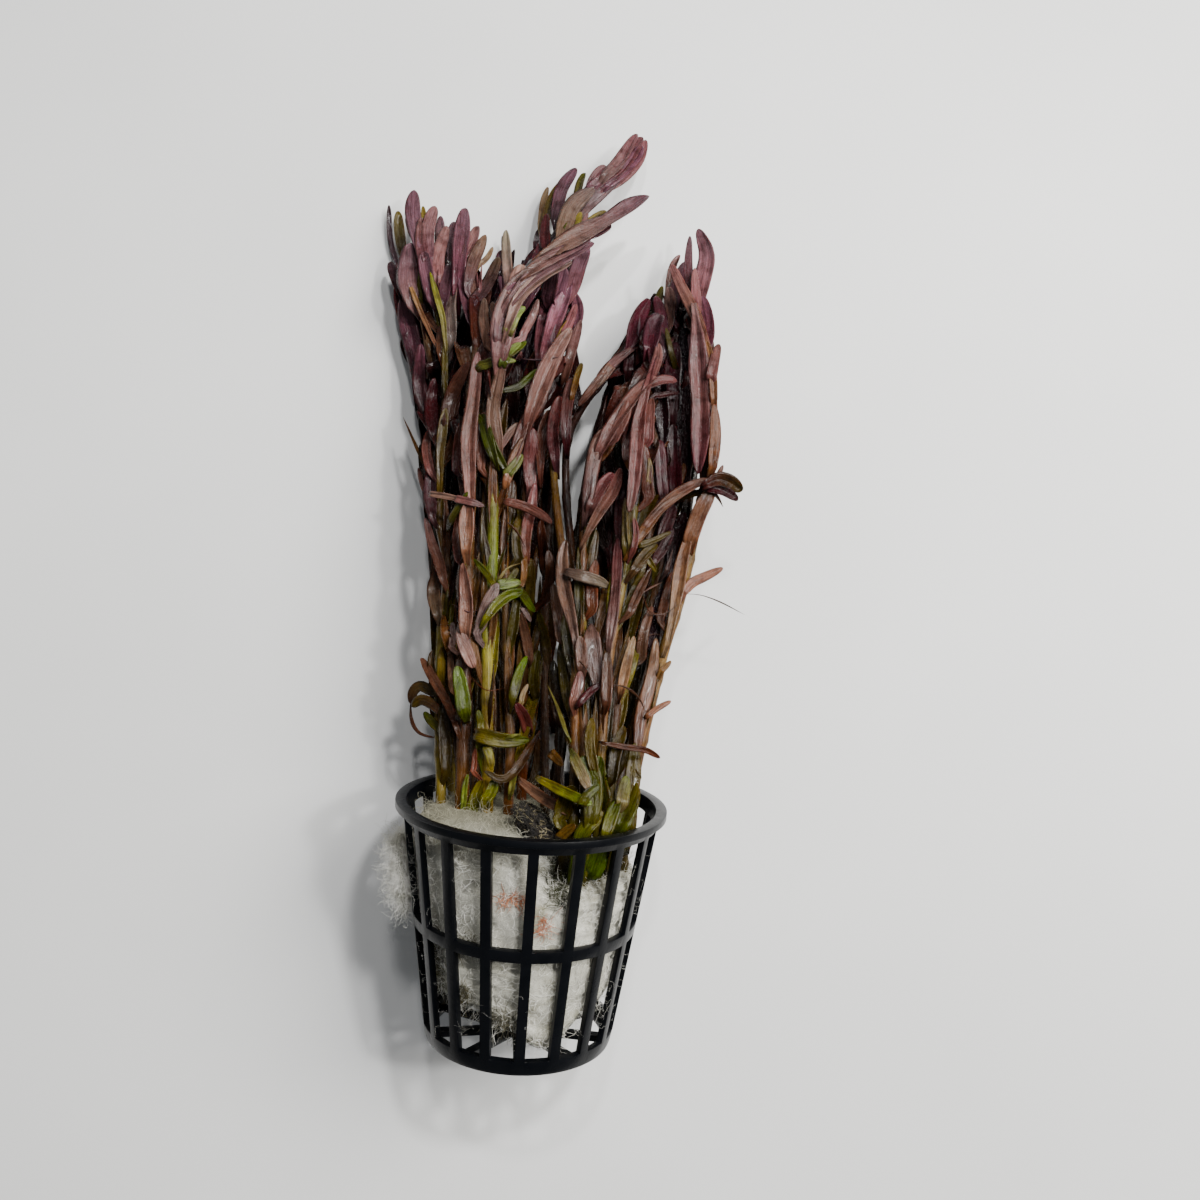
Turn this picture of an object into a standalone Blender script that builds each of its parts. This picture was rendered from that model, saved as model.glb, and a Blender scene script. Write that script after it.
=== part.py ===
# A bunch of rotala in its net pot, lying on its side: the moulded pot, the floss that packs it, the
# clump of old roots in its mouth, and two loose groups of leafy shoots.
# +Z is up, +Y runs from the pot to the tips of the shoots, and Z = 0 is the surface it lies on.
# Shapes are worked out in millimetres and written to the meshes in metres.

import itertools
import math

import bmesh
import bpy
import numpy as np
from mathutils import Matrix, Vector, noise
from mathutils.bvhtree import BVHTree

MM = 0.001

# Net pot
RIM_RADIUS = 27.0
POT_HEIGHT = 48.1
WALL = 1.3
FOOT_RADIUS = 18.9
FOOT_ROUNDING = 0.8
WALL_TOP_RADIUS = 25.3
RIM_BAND = 3.0
FOOT_BAND = 3.1
RING_LOW = 23.6
RING_HIGH = 25.8
RIBS = 18
RIB_WIDTH = 2.0
RIB_START = math.radians(5.0)
HUB_RADIUS = 3.2
FOOT_RING_INNER = 16.9
FLANGE_STEP = 0.5

# Where the pot lies
POT_TURN = math.radians(3.9)
POT_FOOT_X = -16.8
POT_FOOT_Y = -89.5

# Floss and roots, in the pot's own frame: up, right, along its axis
FLOSS_CLEARANCE = 0.45
FLOSS_MIDDLE = 26.0
FLOSS_RADIUS = 22.0
FLOSS_LUMP = 1.2
FLOSS_TOP = 46.2
FLOSS_TOP_DROP = 9.5
FLOSS_DROP_START = -3.0
FLOSS_DROP_END = 10.0
FLOSS_FOOT = 10.5
FLOSS_FOOT_BULGE = 7.4
BULGE_MIDDLE = 7.0
BULGE_REACH = 8.0
FLOSS_DENT = 5.5
DENT_ANGLE = 0.35
DENT_WIDTH = 0.45
DENT_HEIGHT = 44.0
DENT_REACH = 8.0
TUFT_ANGLE = math.radians(-86.0)
TUFT_HEIGHT = 34.0
TUFT_SIZE = (5.6, 8.5, 2.6)
TUFT_GAP = 0.45
TUFT_SLOT = -4.5
BRIDGE_SIZE = (4.6, 11.0, 6.0)
BRIDGE_DEPTH = 1.4
CLUMP_CENTRE = (11.5, 2.6, 46.6)
CLUMP_SIZE = (6.5, 2.7, 2.6)
CLUMP_SWELL = 0.35

# Shoots
STEM_GAP = 0.75
STEM_SAMPLE = 3.0
STEM_POINTS = 8
STEM_POT_GAP = 0.6
STEM_LIFT = 0.3
SETTLE_ROUNDS = 90
SETTLE_SHARE = 0.7
SETTLE_WAYS = (0.6, 0.0, 1.0)
FOOT_DEPTH = 11.0
POCKET_CLEARANCE = 0.3
POCKET_ENDS = (0.04, 0.2)
LEAF_THICKNESS = 0.5
LEAF_CLEARANCE = 0.32
LEAF_GROUND = 0.15
LEAF_LOWEST = 0.8
LEAF_FOOT_SHARE = 0.4
LEAF_SWELL = 2.2
LEAF_NARROWING = 0.55
LEAF_TIP_START = 0.72
LEAF_SAMPLE = 0.8
LEAF_BOW = 0.6
LEAF_LENGTH = 19.0
LEAF_WIDTH = 3.8
LEAF_POSTURES = {
    "rise": (0.12, 0.25, -0.05, 0.4, -0.2),
    "spread": (0.24, 0.38, 0.55, 0.14),
    "length": (1.0, 0.7),
}
LEAF_LIFTS = (0.0, 0.8, -0.8, 1.6, -1.6, 2.4, -2.4, 3.4, -3.4, 4.6, 6.0, 8.0)
NODE_SPACING = 60.0
FIRST_NODE = 18.0
NODE_STAGGER = 21.0
LEFT_EDGE = ("shoot_left_01", "shoot_left_04", "shoot_left_05", "shoot_left_09")
RIGHT_EDGE = ("shoot_right_02", "shoot_right_05", "shoot_right_06", "shoot_right_08", "shoot_right_12")

# The view that the routes are given in: focal length and middle in its pixels, distance in millimetres
VIEW_FOCAL = 1200.0
VIEW_MIDDLE = 600.0
VIEW_DISTANCE = 269.7
VIEW_PITCH = math.radians(4.22)

# Each shoot's route from the mouth of the pot to its tip: pixel across, pixel down, millimetres above the
# surface. The lowest shoots come first.
ROUTES = {
    "shoot_left_01": [
        (467, 802, 12), (448, 700, 5), (436, 600, 1.5), (428, 500, 1.5), (423, 430, 1.5), (414, 365, 3),
        (404, 308, 4),
    ],
    "shoot_left_02": [
        (500, 804, 6), (490, 700, 3), (487, 600, 1.5), (489, 500, 1.5), (493, 420, 1.5),
        (498, 340, 1.5), (505, 285, 3),
    ],
    "shoot_left_03": [
        (524, 806, 6), (517, 700, 3), (516, 600, 1.5), (520, 500, 1.5), (527, 400, 3), (536, 320, 4),
        (546, 250, 6),
    ],
    "shoot_left_04": [
        (483, 803, 9), (464, 700, 5), (458, 600, 3), (456, 450, 3), (452, 360, 4), (446, 310, 5),
        (438, 275, 6),
    ],
    "shoot_left_05": [
        (453, 802, 17), (445, 700, 14), (441, 600, 12), (438, 500, 10), (435, 400, 9), (425, 330, 9),
        (412, 285, 9),
    ],
    "shoot_left_06": [
        (498, 806, 14), (501, 700, 15), (503, 600, 15), (508, 500, 14), (514, 420, 13), (522, 350, 12),
        (536, 285, 12), (556, 235, 11), (582, 196, 10), (610, 170, 9),
    ],
    "shoot_left_07": [
        (474, 803, 20), (476, 700, 17), (480, 600, 16), (483, 500, 15), (485, 400, 13), (483, 335, 11),
        (485, 290, 9),
    ],
    "shoot_left_08": [
        (521, 808, 17), (524, 720, 19), (526, 620, 19), (526, 530, 19), (529, 450, 17), (545, 370, 15),
        (557, 320, 12), (564, 280, 10),
    ],
    "shoot_left_09": [
        (441, 797, 24), (439, 720, 22), (441, 640, 21), (447, 570, 19), (439, 520, 18), (441, 460, 17),
        (445, 400, 15), (443, 345, 13), (432, 285, 11), (418, 240, 9),
    ],
    "shoot_left_10": [
        (462, 804, 28), (464, 700, 27), (468, 610, 26), (468, 550, 25), (470, 480, 23), (471, 400, 20),
        (477, 350, 18), (473, 300, 14), (464, 255, 11),
    ],
    "shoot_left_11": [
        (487, 808, 28), (487, 700, 28), (488, 620, 27), (492, 560, 25), (493, 500, 24), (491, 440, 23),
        (497, 380, 22), (502, 335, 22), (514, 290, 22), (545, 257, 20), (590, 234, 15),
    ],
    "shoot_left_12": [
        (508, 812, 27), (510, 740, 27), (507, 660, 25), (505, 580, 24), (505, 500, 22), (512, 460, 21),
        (524, 425, 20), (540, 388, 19), (553, 360, 18), (564, 335, 16),
    ],
    "shoot_right_01": [
        (548, 812, 6), (564, 720, 3), (572, 620, 1.5), (580, 520, 1.5), (594, 440, 1.5), (612, 385, 3),
        (628, 345, 4),
    ],
    "shoot_right_02": [
        (590, 812, 10), (610, 730, 5), (630, 640, 1.5), (650, 560, 1.5), (666, 480, 1.5),
        (673, 400, 1.5), (668, 335, 3),
    ],
    "shoot_right_03": [
        (571, 818, 14), (594, 720, 9), (606, 620, 5), (616, 530, 3), (628, 450, 3), (640, 385, 4),
        (648, 330, 5),
    ],
    "shoot_right_04": [
        (545, 812, 15), (545, 740, 12), (544, 660, 9), (546, 580, 7), (551, 500, 5), (559, 440, 5),
        (568, 390, 5),
    ],
    "shoot_right_05": [
        (612, 812, 18), (630, 740, 16), (650, 660, 14), (670, 590, 12), (684, 520, 11), (690, 450, 10),
        (691, 380, 9), (692, 330, 9), (698, 290, 9),
    ],
    "shoot_right_06": [
        (604, 822, 27), (620, 740, 24), (641, 650, 20), (660, 570, 17), (673, 500, 15), (680, 430, 13),
        (682, 370, 11), (680, 310, 9),
    ],
    "shoot_right_07": [
        (559, 825, 31), (560, 740, 29), (567, 640, 24), (571, 560, 19), (566, 490, 16), (568, 440, 15),
        (584, 405, 15), (607, 376, 15), (628, 350, 14), (643, 318, 12),
    ],
    "shoot_right_08": [
        (611, 832, 37), (613, 740, 33), (626, 650, 29), (642, 575, 26), (651, 510, 23), (655, 450, 21),
        (657, 390, 18), (664, 335, 14),
    ],
    "shoot_right_09": [
        (598, 834, 40), (602, 740, 37), (606, 680, 35), (616, 620, 32), (627, 560, 29), (634, 510, 27),
        (639, 450, 25), (643, 390, 21), (649, 345, 17),
    ],
    "shoot_right_10": [
        (573, 836, 42), (575, 740, 38), (574, 640, 32), (564, 565, 27), (556, 500, 23), (553, 450, 20),
        (559, 412, 17), (572, 386, 14),
    ],
    "shoot_right_11": [
        (586, 836, 42), (584, 740, 38), (582, 640, 33), (583, 560, 29), (585, 505, 27), (594, 460, 26),
        (606, 428, 26), (624, 402, 25), (646, 388, 22),
    ],
    "shoot_right_12": [
        (625, 822, 32), (637, 760, 31), (649, 710, 29), (664, 650, 25), (681, 595, 22), (692, 545, 21),
        (704, 490, 21), (712, 440, 21), (712, 395, 21), (705, 345, 19), (690, 305, 15),
    ],
}

# Foot and tip radius of the stems
STEM_RADII = {"shoot_left_10": (1.5, 1.3), "shoot_left_11": (1.3, 1.2), "shoot_right_12": (1.3, 1.1)}
USUAL_RADII = (1.1, 0.8)

# The leaves that give the bunch its outline, each as width in millimetres, height of its tip over its
# foot, and pixels from the foot, on its stem, to the tip.
LEAVES = {
    "shoot_left_01": [
        (3.6, 1.0, [(414, 365), (404, 330), (402, 298)]),
        (3.8, 1.5, [(424, 440), (414, 395), (408, 345)]),
        (1.0, 0.5, [(426, 478), (414, 445), (404, 418)]),
    ],
    "shoot_left_02": [
        (2.1, 1.0, [(505, 290), (506, 260), (506, 230)]),
        (2.8, 1.5, [(499, 335), (499, 310), (496, 285)]),
    ],
    "shoot_left_03": [
        (2.2, 1.0, [(544, 262), (550, 215), (558, 181)]),
        (2.8, 2.0, [(546, 252), (559, 205), (575, 168)]),
        (2.0, 0.5, [(541, 280), (538, 230), (547, 189)]),
    ],
    "shoot_left_04": [
        (3.0, 1.5, [(440, 285), (437, 255), (436, 226)]),
        (2.3, 1.0, [(444, 300), (444, 262), (447, 226)]),
        (3.2, 1.0, [(452, 360), (449, 325), (452, 290)]),
    ],
    "shoot_left_05": [
        (2.4, 1.0, [(412, 288), (391, 245), (388, 205)]),
        (2.6, 1.5, [(414, 292), (402, 245), (399, 212)]),
        (4.4, 3.0, [(418, 305), (406, 272), (408, 244)]),
    ],
    "shoot_left_06": [
        (3.2, 1.0, [(608, 172), (624, 155), (637, 134)]),
        (2.4, -1.0, [(604, 176), (628, 163), (646, 140)]),
        (2.6, 2.0, [(580, 198), (592, 182), (606, 168)]),
        (1.6, 1.0, [(572, 208), (579, 190), (586, 174)]),
    ],
    "shoot_left_07": [
        (2.6, 1.0, [(484, 296), (478, 262), (486, 235)]),
        (3.4, 2.0, [(485, 305), (490, 278), (499, 257)]),
        (2.6, 1.5, [(484, 350), (485, 325), (482, 302)]),
    ],
    "shoot_left_08": [
        (3.2, 1.5, [(560, 305), (566, 275), (575, 250)]),
        (1.8, 1.0, [(560, 345), (570, 325), (576, 305)]),
    ],
    "shoot_left_09": [
        (3.0, 1.5, [(419, 245), (414, 215), (414, 190)]),
        (3.0, 2.0, [(424, 262), (426, 232), (435, 206)]),
        (2.0, 1.0, [(438, 700), (422, 703), (411, 688)]),
    ],
    "shoot_left_10": [
        (3.4, 1.0, [(465, 262), (461, 235), (465, 208)]),
        (3.6, 1.5, [(475, 320), (462, 292), (457, 262)]),
    ],
    "shoot_left_11": [
        (3.6, 0.0, [(585, 238), (615, 219), (648, 198)]),
        (1.8, 1.5, [(566, 248), (588, 227), (605, 212)]),
        (1.6, 1.0, [(560, 252), (572, 232), (580, 213)]),
        (4.6, 2.0, [(503, 340), (507, 300), (524, 267)]),
        (2.8, -3.0, [(580, 240), (578, 265), (571, 292)]),
    ],
    "shoot_left_12": [
        (2.4, 1.5, [(560, 345), (572, 338), (582, 322)]),
    ],
    "shoot_right_03": [
        (3.0, 1.5, [(644, 360), (636, 325), (645, 298)]),
    ],
    "shoot_right_05": [
        (3.2, 2.0, [(698, 300), (706, 262), (697, 230)]),
        (2.4, 1.0, [(697, 305), (690, 270), (690, 236)]),
    ],
    "shoot_right_06": [
        (2.6, 1.0, [(680, 315), (672, 285), (678, 256)]),
        (3.4, 3.5, [(688, 330), (700, 400), (699, 472)]),
        (3.4, 2.0, [(682, 395), (686, 430), (684, 470)]),
    ],
    "shoot_right_07": [
        (2.6, 1.5, [(640, 325), (650, 305), (660, 288)]),
        (3.0, 1.0, [(632, 345), (634, 325), (642, 303)]),
    ],
    "shoot_right_08": [
        (2.6, 2.0, [(648, 530), (672, 498), (702, 483), (724, 483), (740, 491)]),
        (2.2, 1.0, [(662, 350), (657, 325), (661, 300)]),
    ],
    "shoot_right_09": [
        (3.0, 1.5, [(648, 352), (652, 330), (648, 310)]),
    ],
    "shoot_right_10": [
        (1.9, 1.0, [(571, 388), (577, 376), (582, 363)]),
    ],
    "shoot_right_11": [
        (2.8, 0.5, [(642, 390), (660, 382), (677, 379)]),
        (3.2, 1.5, [(600, 442), (602, 485), (590, 527)]),
    ],
    "shoot_right_12": [
        (2.2, 1.5, [(692, 308), (682, 290), (674, 268)]),
        (2.4, 0.5, [(712, 392), (712, 365), (719, 343)]),
        (4.4, 1.0, [(694, 535), (703, 508), (710, 484)]),
        (2.6, -2.0, [(682, 592), (702, 581), (722, 568)]),
        (1.8, -2.0, [(651, 700), (658, 682), (667, 663)]),
        (2.0, -2.0, [(645, 728), (656, 712), (669, 703)]),
        (1.5, -2.0, [(636, 765), (647, 750), (658, 756)]),
    ],
}

COLOURS = {
    "pot": (0.012, 0.013, 0.016, 1.0),
    "floss": (0.74, 0.73, 0.68, 1.0),
    "roots": (0.045, 0.040, 0.022, 1.0),
    "left": (0.25, 0.13, 0.10, 1.0),
    "right": (0.22, 0.09, 0.09, 1.0),
}


# World placing

def point_in_view(across, down, height):
    # The point at this height above the surface that the view shows at this pixel.
    sight_x = (across - VIEW_MIDDLE) / VIEW_FOCAL
    sight_y = (VIEW_MIDDLE - down) / VIEW_FOCAL
    sine = math.sin(VIEW_PITCH)
    cosine = math.cos(VIEW_PITCH)
    reach = (height - VIEW_DISTANCE * cosine) / (sight_y * sine - cosine)
    return Vector((reach * sight_x, -VIEW_DISTANCE * sine + reach * (sight_y * cosine + sine), height))


def wall_radius(height):
    return FOOT_RADIUS + (WALL_TOP_RADIUS - FOOT_RADIUS) * height / (POT_HEIGHT - RIM_BAND)


def pot_frame():
    # The pot rests on its flange and on its rounded foot, so its axis climbs towards the mouth. Its own
    # axes are up, right and along, and its origin is the middle of its foot.
    flange_low = POT_HEIGHT - WALL
    climb = math.atan2(RIM_RADIUS - FOOT_RADIUS, flange_low - FOOT_ROUNDING)
    along = Vector((
        math.sin(POT_TURN) * math.cos(climb),
        math.cos(POT_TURN) * math.cos(climb),
        math.sin(climb),
    ))
    right = Vector((math.cos(POT_TURN), -math.sin(POT_TURN), 0.0))
    up = right.cross(along)
    foot_height = FOOT_RADIUS * math.cos(climb) - FOOT_ROUNDING * math.sin(climb)
    frame = Matrix((up, right, along)).transposed().to_4x4()
    frame.translation = Vector((POT_FOOT_X, POT_FOOT_Y, foot_height))
    return frame


def polar(radius, angle, height):
    return Vector((radius * math.cos(angle), radius * math.sin(angle), height))


# Scene helpers

def clear_scene():
    for item in list(bpy.data.objects):
        bpy.data.objects.remove(item, do_unlink=True)


def new_collection(name):
    group = bpy.data.collections.new(name)
    bpy.context.scene.collection.children.link(group)
    return group


def material(name, colour, roughness):
    made = bpy.data.materials.new(name)
    made.use_nodes = True
    shader = made.node_tree.nodes["Principled BSDF"]
    shader.inputs["Base Color"].default_value = colour
    shader.inputs["Roughness"].default_value = roughness
    shader.inputs["Metallic"].default_value = 0.0
    return made


def object_from(name, shape, group, parent, finish=None):
    # The bmesh is in millimetres, the object in metres.
    bmesh.ops.scale(shape, vec=(MM, MM, MM), verts=shape.verts)
    mesh = bpy.data.meshes.new(name)
    shape.to_mesh(mesh)
    shape.free()
    made = bpy.data.objects.new(name, mesh)
    made.parent = parent
    group.objects.link(made)
    if finish:
        mesh.materials.append(finish)
    return made


def hide_helper(item):
    item.hide_render = True
    item.display_type = "WIRE"


def add_boolean(item, name, operation, group):
    cut = item.modifiers.new(name, "BOOLEAN")
    cut.operation = operation
    cut.operand_type = "COLLECTION"
    cut.collection = group
    cut.solver = "EXACT"


def surface_of(item):
    # The finished surface as a search tree, in millimetres.
    graph = bpy.context.evaluated_depsgraph_get()
    seen = item.evaluated_get(graph)
    mesh = seen.to_mesh()
    points = [(seen.matrix_world @ corner.co) / MM for corner in mesh.vertices]
    faces = [tuple(face.vertices) for face in mesh.polygons]
    seen.to_mesh_clear()
    return BVHTree.FromPolygons(points, faces)


# Net pot

def pot_rows():
    flange_low = POT_HEIGHT - WALL
    return [
        (HUB_RADIUS, 0.0),
        (FOOT_RING_INNER, 0.0),
        (FOOT_RADIUS - FOOT_ROUNDING, 0.0),
        (FOOT_RADIUS, FOOT_ROUNDING),
        (wall_radius(FOOT_BAND), FOOT_BAND),
        (wall_radius(RING_LOW), RING_LOW),
        (wall_radius(RING_HIGH), RING_HIGH),
        (wall_radius(POT_HEIGHT - RIM_BAND), POT_HEIGHT - RIM_BAND),
        (WALL_TOP_RADIUS + FLANGE_STEP, flange_low),
        (RIM_RADIUS, flange_low),
    ]


def make_net_pot(group, seat):
    # A flat grid is wrapped round the axis, its slots are taken out, and Solidify gives it its wall.
    rows = pot_rows()
    spoke_row, slot_rows = 0, (4, 6)
    columns = 3 * RIBS
    shape = bmesh.new()
    bmesh.ops.create_grid(shape, x_segments=columns, y_segments=len(rows) - 1, size=0.5)
    place = {}
    for corner in shape.verts:
        place[corner] = (
            round((corner.co.x + 0.5) * columns),
            round((corner.co.y + 0.5) * (len(rows) - 1)),
        )
    unwanted = []
    for face in shape.faces:
        column = min(place[corner][0] for corner in face.verts)
        row = min(place[corner][1] for corner in face.verts)
        on_rib = column % 3 == 0
        on_spoke = on_rib and (column // 3) % 2 == 0
        if (row == spoke_row and not on_spoke) or (row in slot_rows and not on_rib):
            unwanted.append(face)
    for corner, (column, row) in place.items():
        radius, height = rows[row]
        rib, part = divmod(column, 3)
        angle = RIB_START + math.tau * rib / RIBS
        half = math.asin(0.5 * RIB_WIDTH / radius)
        angle += (-half, half, math.pi / RIBS)[part]
        corner.co = polar(radius, angle, height)
    bmesh.ops.delete(shape, geom=unwanted, context="FACES")
    bmesh.ops.remove_doubles(shape, verts=shape.verts, dist=0.001)
    hub = [corner for corner in shape.verts if corner.co.xy.length < HUB_RADIUS + 0.01]
    bmesh.ops.contextual_create(shape, geom=hub)
    bmesh.ops.recalc_face_normals(shape, faces=shape.faces)
    shape.normal_update()
    wall = max(shape.faces, key=lambda face: face.calc_center_median().z)
    if wall.normal.z > 0:
        bmesh.ops.reverse_faces(shape, faces=shape.faces)
    pot = object_from("net_pot", shape, group, seat, material("pot_plastic", COLOURS["pot"], 0.35))
    skin = pot.modifiers.new("wall", "SOLIDIFY")
    skin.thickness = WALL * MM
    skin.offset = -1.0
    skin.use_even_offset = True
    return pot


# Floss

def smooth_step(low, high, value):
    share = min(1.0, max(0.0, (value - low) / (high - low)))
    return share * share * (3.0 - 2.0 * share)


def floss_top(right):
    # The floss stands level with the rim on the left and drops away under the right group.
    return FLOSS_TOP - FLOSS_TOP_DROP * smooth_step(FLOSS_DROP_START, FLOSS_DROP_END, right)


def floss_bottom(right):
    return FLOSS_FOOT - FLOSS_FOOT_BULGE * math.exp(-((right - BULGE_MIDDLE) / BULGE_REACH) ** 2)


def make_floss_body():
    shape = bmesh.new()
    bmesh.ops.create_uvsphere(shape, u_segments=18, v_segments=9, radius=1.0)
    for corner in shape.verts:
        up, right, along = corner.co
        around = math.hypot(up, right)
        fullness = (1.0 - min(1.0, abs(along)) ** 9) ** 0.12
        rough_right = FLOSS_RADIUS * fullness * (right / around if around > 1e-6 else 0.0)
        end = floss_top(rough_right) if along > 0 else floss_bottom(rough_right)
        height = FLOSS_MIDDLE + (end - FLOSS_MIDDLE) * abs(along) ** 0.8
        lump = FLOSS_LUMP * (0.5 + noise.noise(Vector((3.0 * up, 3.0 * right, 2.5 * along))))
        radius = fullness * (wall_radius(height) - WALL - FLOSS_CLEARANCE - lump)
        angle = math.atan2(right, up)
        # The right group lies in a dent under the front of the rim.
        sideways = (angle - DENT_ANGLE) / DENT_WIDTH
        dent = math.exp(-sideways ** 2 - ((height - DENT_HEIGHT) / DENT_REACH) ** 2)
        corner.co = polar(radius - FLOSS_DENT * dent * fullness, angle, height)
    return shape


def make_tuft():
    # Floss pulled out through a slot lies against the outside of the wall.
    shape = bmesh.new()
    bmesh.ops.create_uvsphere(shape, u_segments=10, v_segments=6, radius=1.0)
    across, tall, deep = TUFT_SIZE
    for corner in shape.verts:
        side, rise, out = corner.co
        height = TUFT_HEIGHT + tall * rise
        radius = wall_radius(height) + TUFT_GAP + 0.5 * deep * (1.0 + out)
        corner.co = polar(radius, TUFT_ANGLE + side * across / radius, height)
    bmesh.ops.recalc_face_normals(shape, faces=shape.faces)
    return shape


def make_bridge():
    # The floss that passes through the slot, from the wad to the tuft.
    shape = bmesh.new()
    bmesh.ops.create_cube(shape, size=1.0)
    across, tall, deep = BRIDGE_SIZE
    slot_angle = RIB_START + math.tau * TUFT_SLOT / RIBS
    for corner in shape.verts:
        height = TUFT_HEIGHT + tall * corner.co.x
        radius = wall_radius(height) - BRIDGE_DEPTH + deep * corner.co.z
        corner.co = polar(radius, slot_angle + across * corner.co.y / radius, height)
    bmesh.ops.recalc_face_normals(shape, faces=shape.faces)
    return shape


def make_floss(group, seat, helpers, pockets):
    body = object_from("floss_wad", make_floss_body(), group, seat, material("floss", COLOURS["floss"], 0.9))
    for name, shape in (("floss_tuft", make_tuft()), ("floss_bridge", make_bridge())):
        hide_helper(object_from(name, shape, helpers, seat))
    add_boolean(body, "tuft", "UNION", helpers)
    add_boolean(body, "pockets", "DIFFERENCE", pockets)
    return body


def make_root_clump(group, seat):
    shape = bmesh.new()
    bmesh.ops.create_icosphere(shape, subdivisions=2, radius=1.0)
    for corner in shape.verts:
        swell = 1.0 + CLUMP_SWELL * noise.noise(corner.co * 2.5)
        corner.co = Vector(CLUMP_CENTRE) + Vector(
            [size * swell * value for size, value in zip(CLUMP_SIZE, corner.co)]
        )
    return object_from("root_clump", shape, group, seat, material("old_roots", COLOURS["roots"], 0.8))


# Stems

def smooth_line(points, spacing):
    # Points evenly spaced along a smooth curve through the given ones.
    ends = [2 * points[0] - points[1]] + points + [2 * points[-1] - points[-2]]
    fine = []
    for before, start, stop, after in zip(ends, ends[1:], ends[2:], ends[3:]):
        for step in range(12):
            share = step / 12
            fine.append(0.5 * (
                2 * start
                + (stop - before) * share
                + (2 * before - 5 * start + 4 * stop - after) * share ** 2
                + (3 * start - before - 3 * stop + after) * share ** 3
            ))
    fine.append(points[-1])
    line = np.array(fine)
    gone = np.concatenate([[0.0], np.cumsum(np.linalg.norm(np.diff(line, axis=0), axis=1))])
    count = max(4, round(gone[-1] / spacing)) + 1
    where = np.linspace(0.0, gone[-1], count)
    return np.stack([np.interp(where, gone, line[:, axis]) for axis in range(3)], axis=1)


def raw_lines(frame):
    along = frame.col[2].xyz
    lines = {}
    for name, route in ROUTES.items():
        points = [point_in_view(*spot) for spot in route]
        foot = points[0] - FOOT_DEPTH * along
        lines[name] = smooth_line([foot] + points, STEM_SAMPLE)
    return lines


def keep_in_pot(points, radii, inverse):
    # Inside the pot a stem stays clear of its wall.
    turned = points @ inverse[:3, :3].T + inverse[:3, 3]
    inside = (turned[:, 2] > 0) & (turned[:, 2] < POT_HEIGHT + 1.0)
    height = np.minimum(turned[:, 2], POT_HEIGHT - RIM_BAND)
    slope = (WALL_TOP_RADIUS - FOOT_RADIUS) / (POT_HEIGHT - RIM_BAND)
    room = FOOT_RADIUS + slope * height - WALL - STEM_POT_GAP - radii
    around = np.linalg.norm(turned[:, :2], axis=1)
    tight = np.where(inside & (around > room), room / np.maximum(around, 1e-6), 1.0)
    turned[:, :2] *= tight[:, None]
    forward = np.linalg.inv(inverse)
    return turned @ forward[:3, :3].T + forward[:3, 3]


def settle(lines, frame):
    # The stems push each other apart, mostly up and down, until none touches another or the surface.
    names = list(lines)
    counts = [len(lines[name]) for name in names]
    owner = np.repeat(np.arange(len(names)), counts)
    points = np.concatenate([lines[name] for name in names])
    ends = [STEM_RADII.get(name, USUAL_RADII) for name in names]
    radii = np.concatenate([np.linspace(*pair, count) for pair, count in zip(ends, counts)])
    inverse = np.array(frame.inverted())
    reach = radii[:, None] + radii[None, :] + STEM_GAP
    others = owner[:, None] != owner[None, :]
    for _ in range(SETTLE_ROUNDS):
        apart = points[:, None, :] - points[None, :, :]
        distance = np.linalg.norm(apart, axis=2)
        close = np.where(others, np.maximum(0.0, reach - distance), 0.0)
        direction = apart * np.array(SETTLE_WAYS)
        direction /= np.maximum(np.linalg.norm(direction, axis=2, keepdims=True), 1e-6)
        push = (direction * close[:, :, None]).sum(axis=1) / np.maximum(1, (close > 0).sum(axis=1))[:, None]
        start = 0
        for count in counts:
            part = push[start:start + count]
            padded = np.concatenate([part[:1], part[:1], part, part[-1:], part[-1:]])
            push[start:start + count] = sum(padded[k:k + count] for k in range(5)) / 5
            start += count
        points = points + SETTLE_SHARE * push
        points[:, 2] = np.maximum(points[:, 2], radii + STEM_LIFT)
        points = keep_in_pot(points, radii, inverse)
    settled = {}
    start = 0
    for name, count in zip(names, counts):
        settled[name] = points[start:start + count]
        start += count
    return settled


def tube(name, line, radii, group, parent, sides_level=1):
    # A round bar along the line, as a closed mesh.
    data = bpy.data.curves.new(name, "CURVE")
    data.dimensions = "3D"
    data.bevel_depth = MM
    data.bevel_resolution = sides_level
    data.use_fill_caps = True
    spline = data.splines.new("POLY")
    spline.points.add(len(line) - 1)
    for knot, place, radius in zip(spline.points, line, radii):
        knot.co = (*(Vector(place) * MM), 1.0)
        knot.radius = radius
    curve = bpy.data.objects.new(name + "_line", data)
    group.objects.link(curve)
    bpy.context.view_layer.update()
    graph = bpy.context.evaluated_depsgraph_get()
    mesh = bpy.data.meshes.new_from_object(curve.evaluated_get(graph))
    shape = bmesh.new()
    shape.from_mesh(mesh)
    bmesh.ops.remove_doubles(shape, verts=shape.verts, dist=1e-6)
    bmesh.ops.recalc_face_normals(shape, faces=shape.faces)
    shape.to_mesh(mesh)
    shape.free()
    made = bpy.data.objects.new(name, mesh)
    made.matrix_world = curve.matrix_world
    made.parent = parent
    group.objects.link(made)
    bpy.data.objects.remove(curve, do_unlink=True)
    return made


def stem_points(name, line):
    # The few points of a stem's solid: its foot, one just outside the mouth, and the rest evenly spaced.
    mouth = 1.25 * FOOT_DEPTH / STEM_SAMPLE
    rest = np.linspace(mouth, len(line) - 1, STEM_POINTS - 1 + (len(ROUTES[name]) > 8))
    where = np.concatenate([[0.0], rest])
    index = np.arange(len(line))
    return np.stack([np.interp(where, index, line[:, axis]) for axis in range(3)], axis=1)


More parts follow.
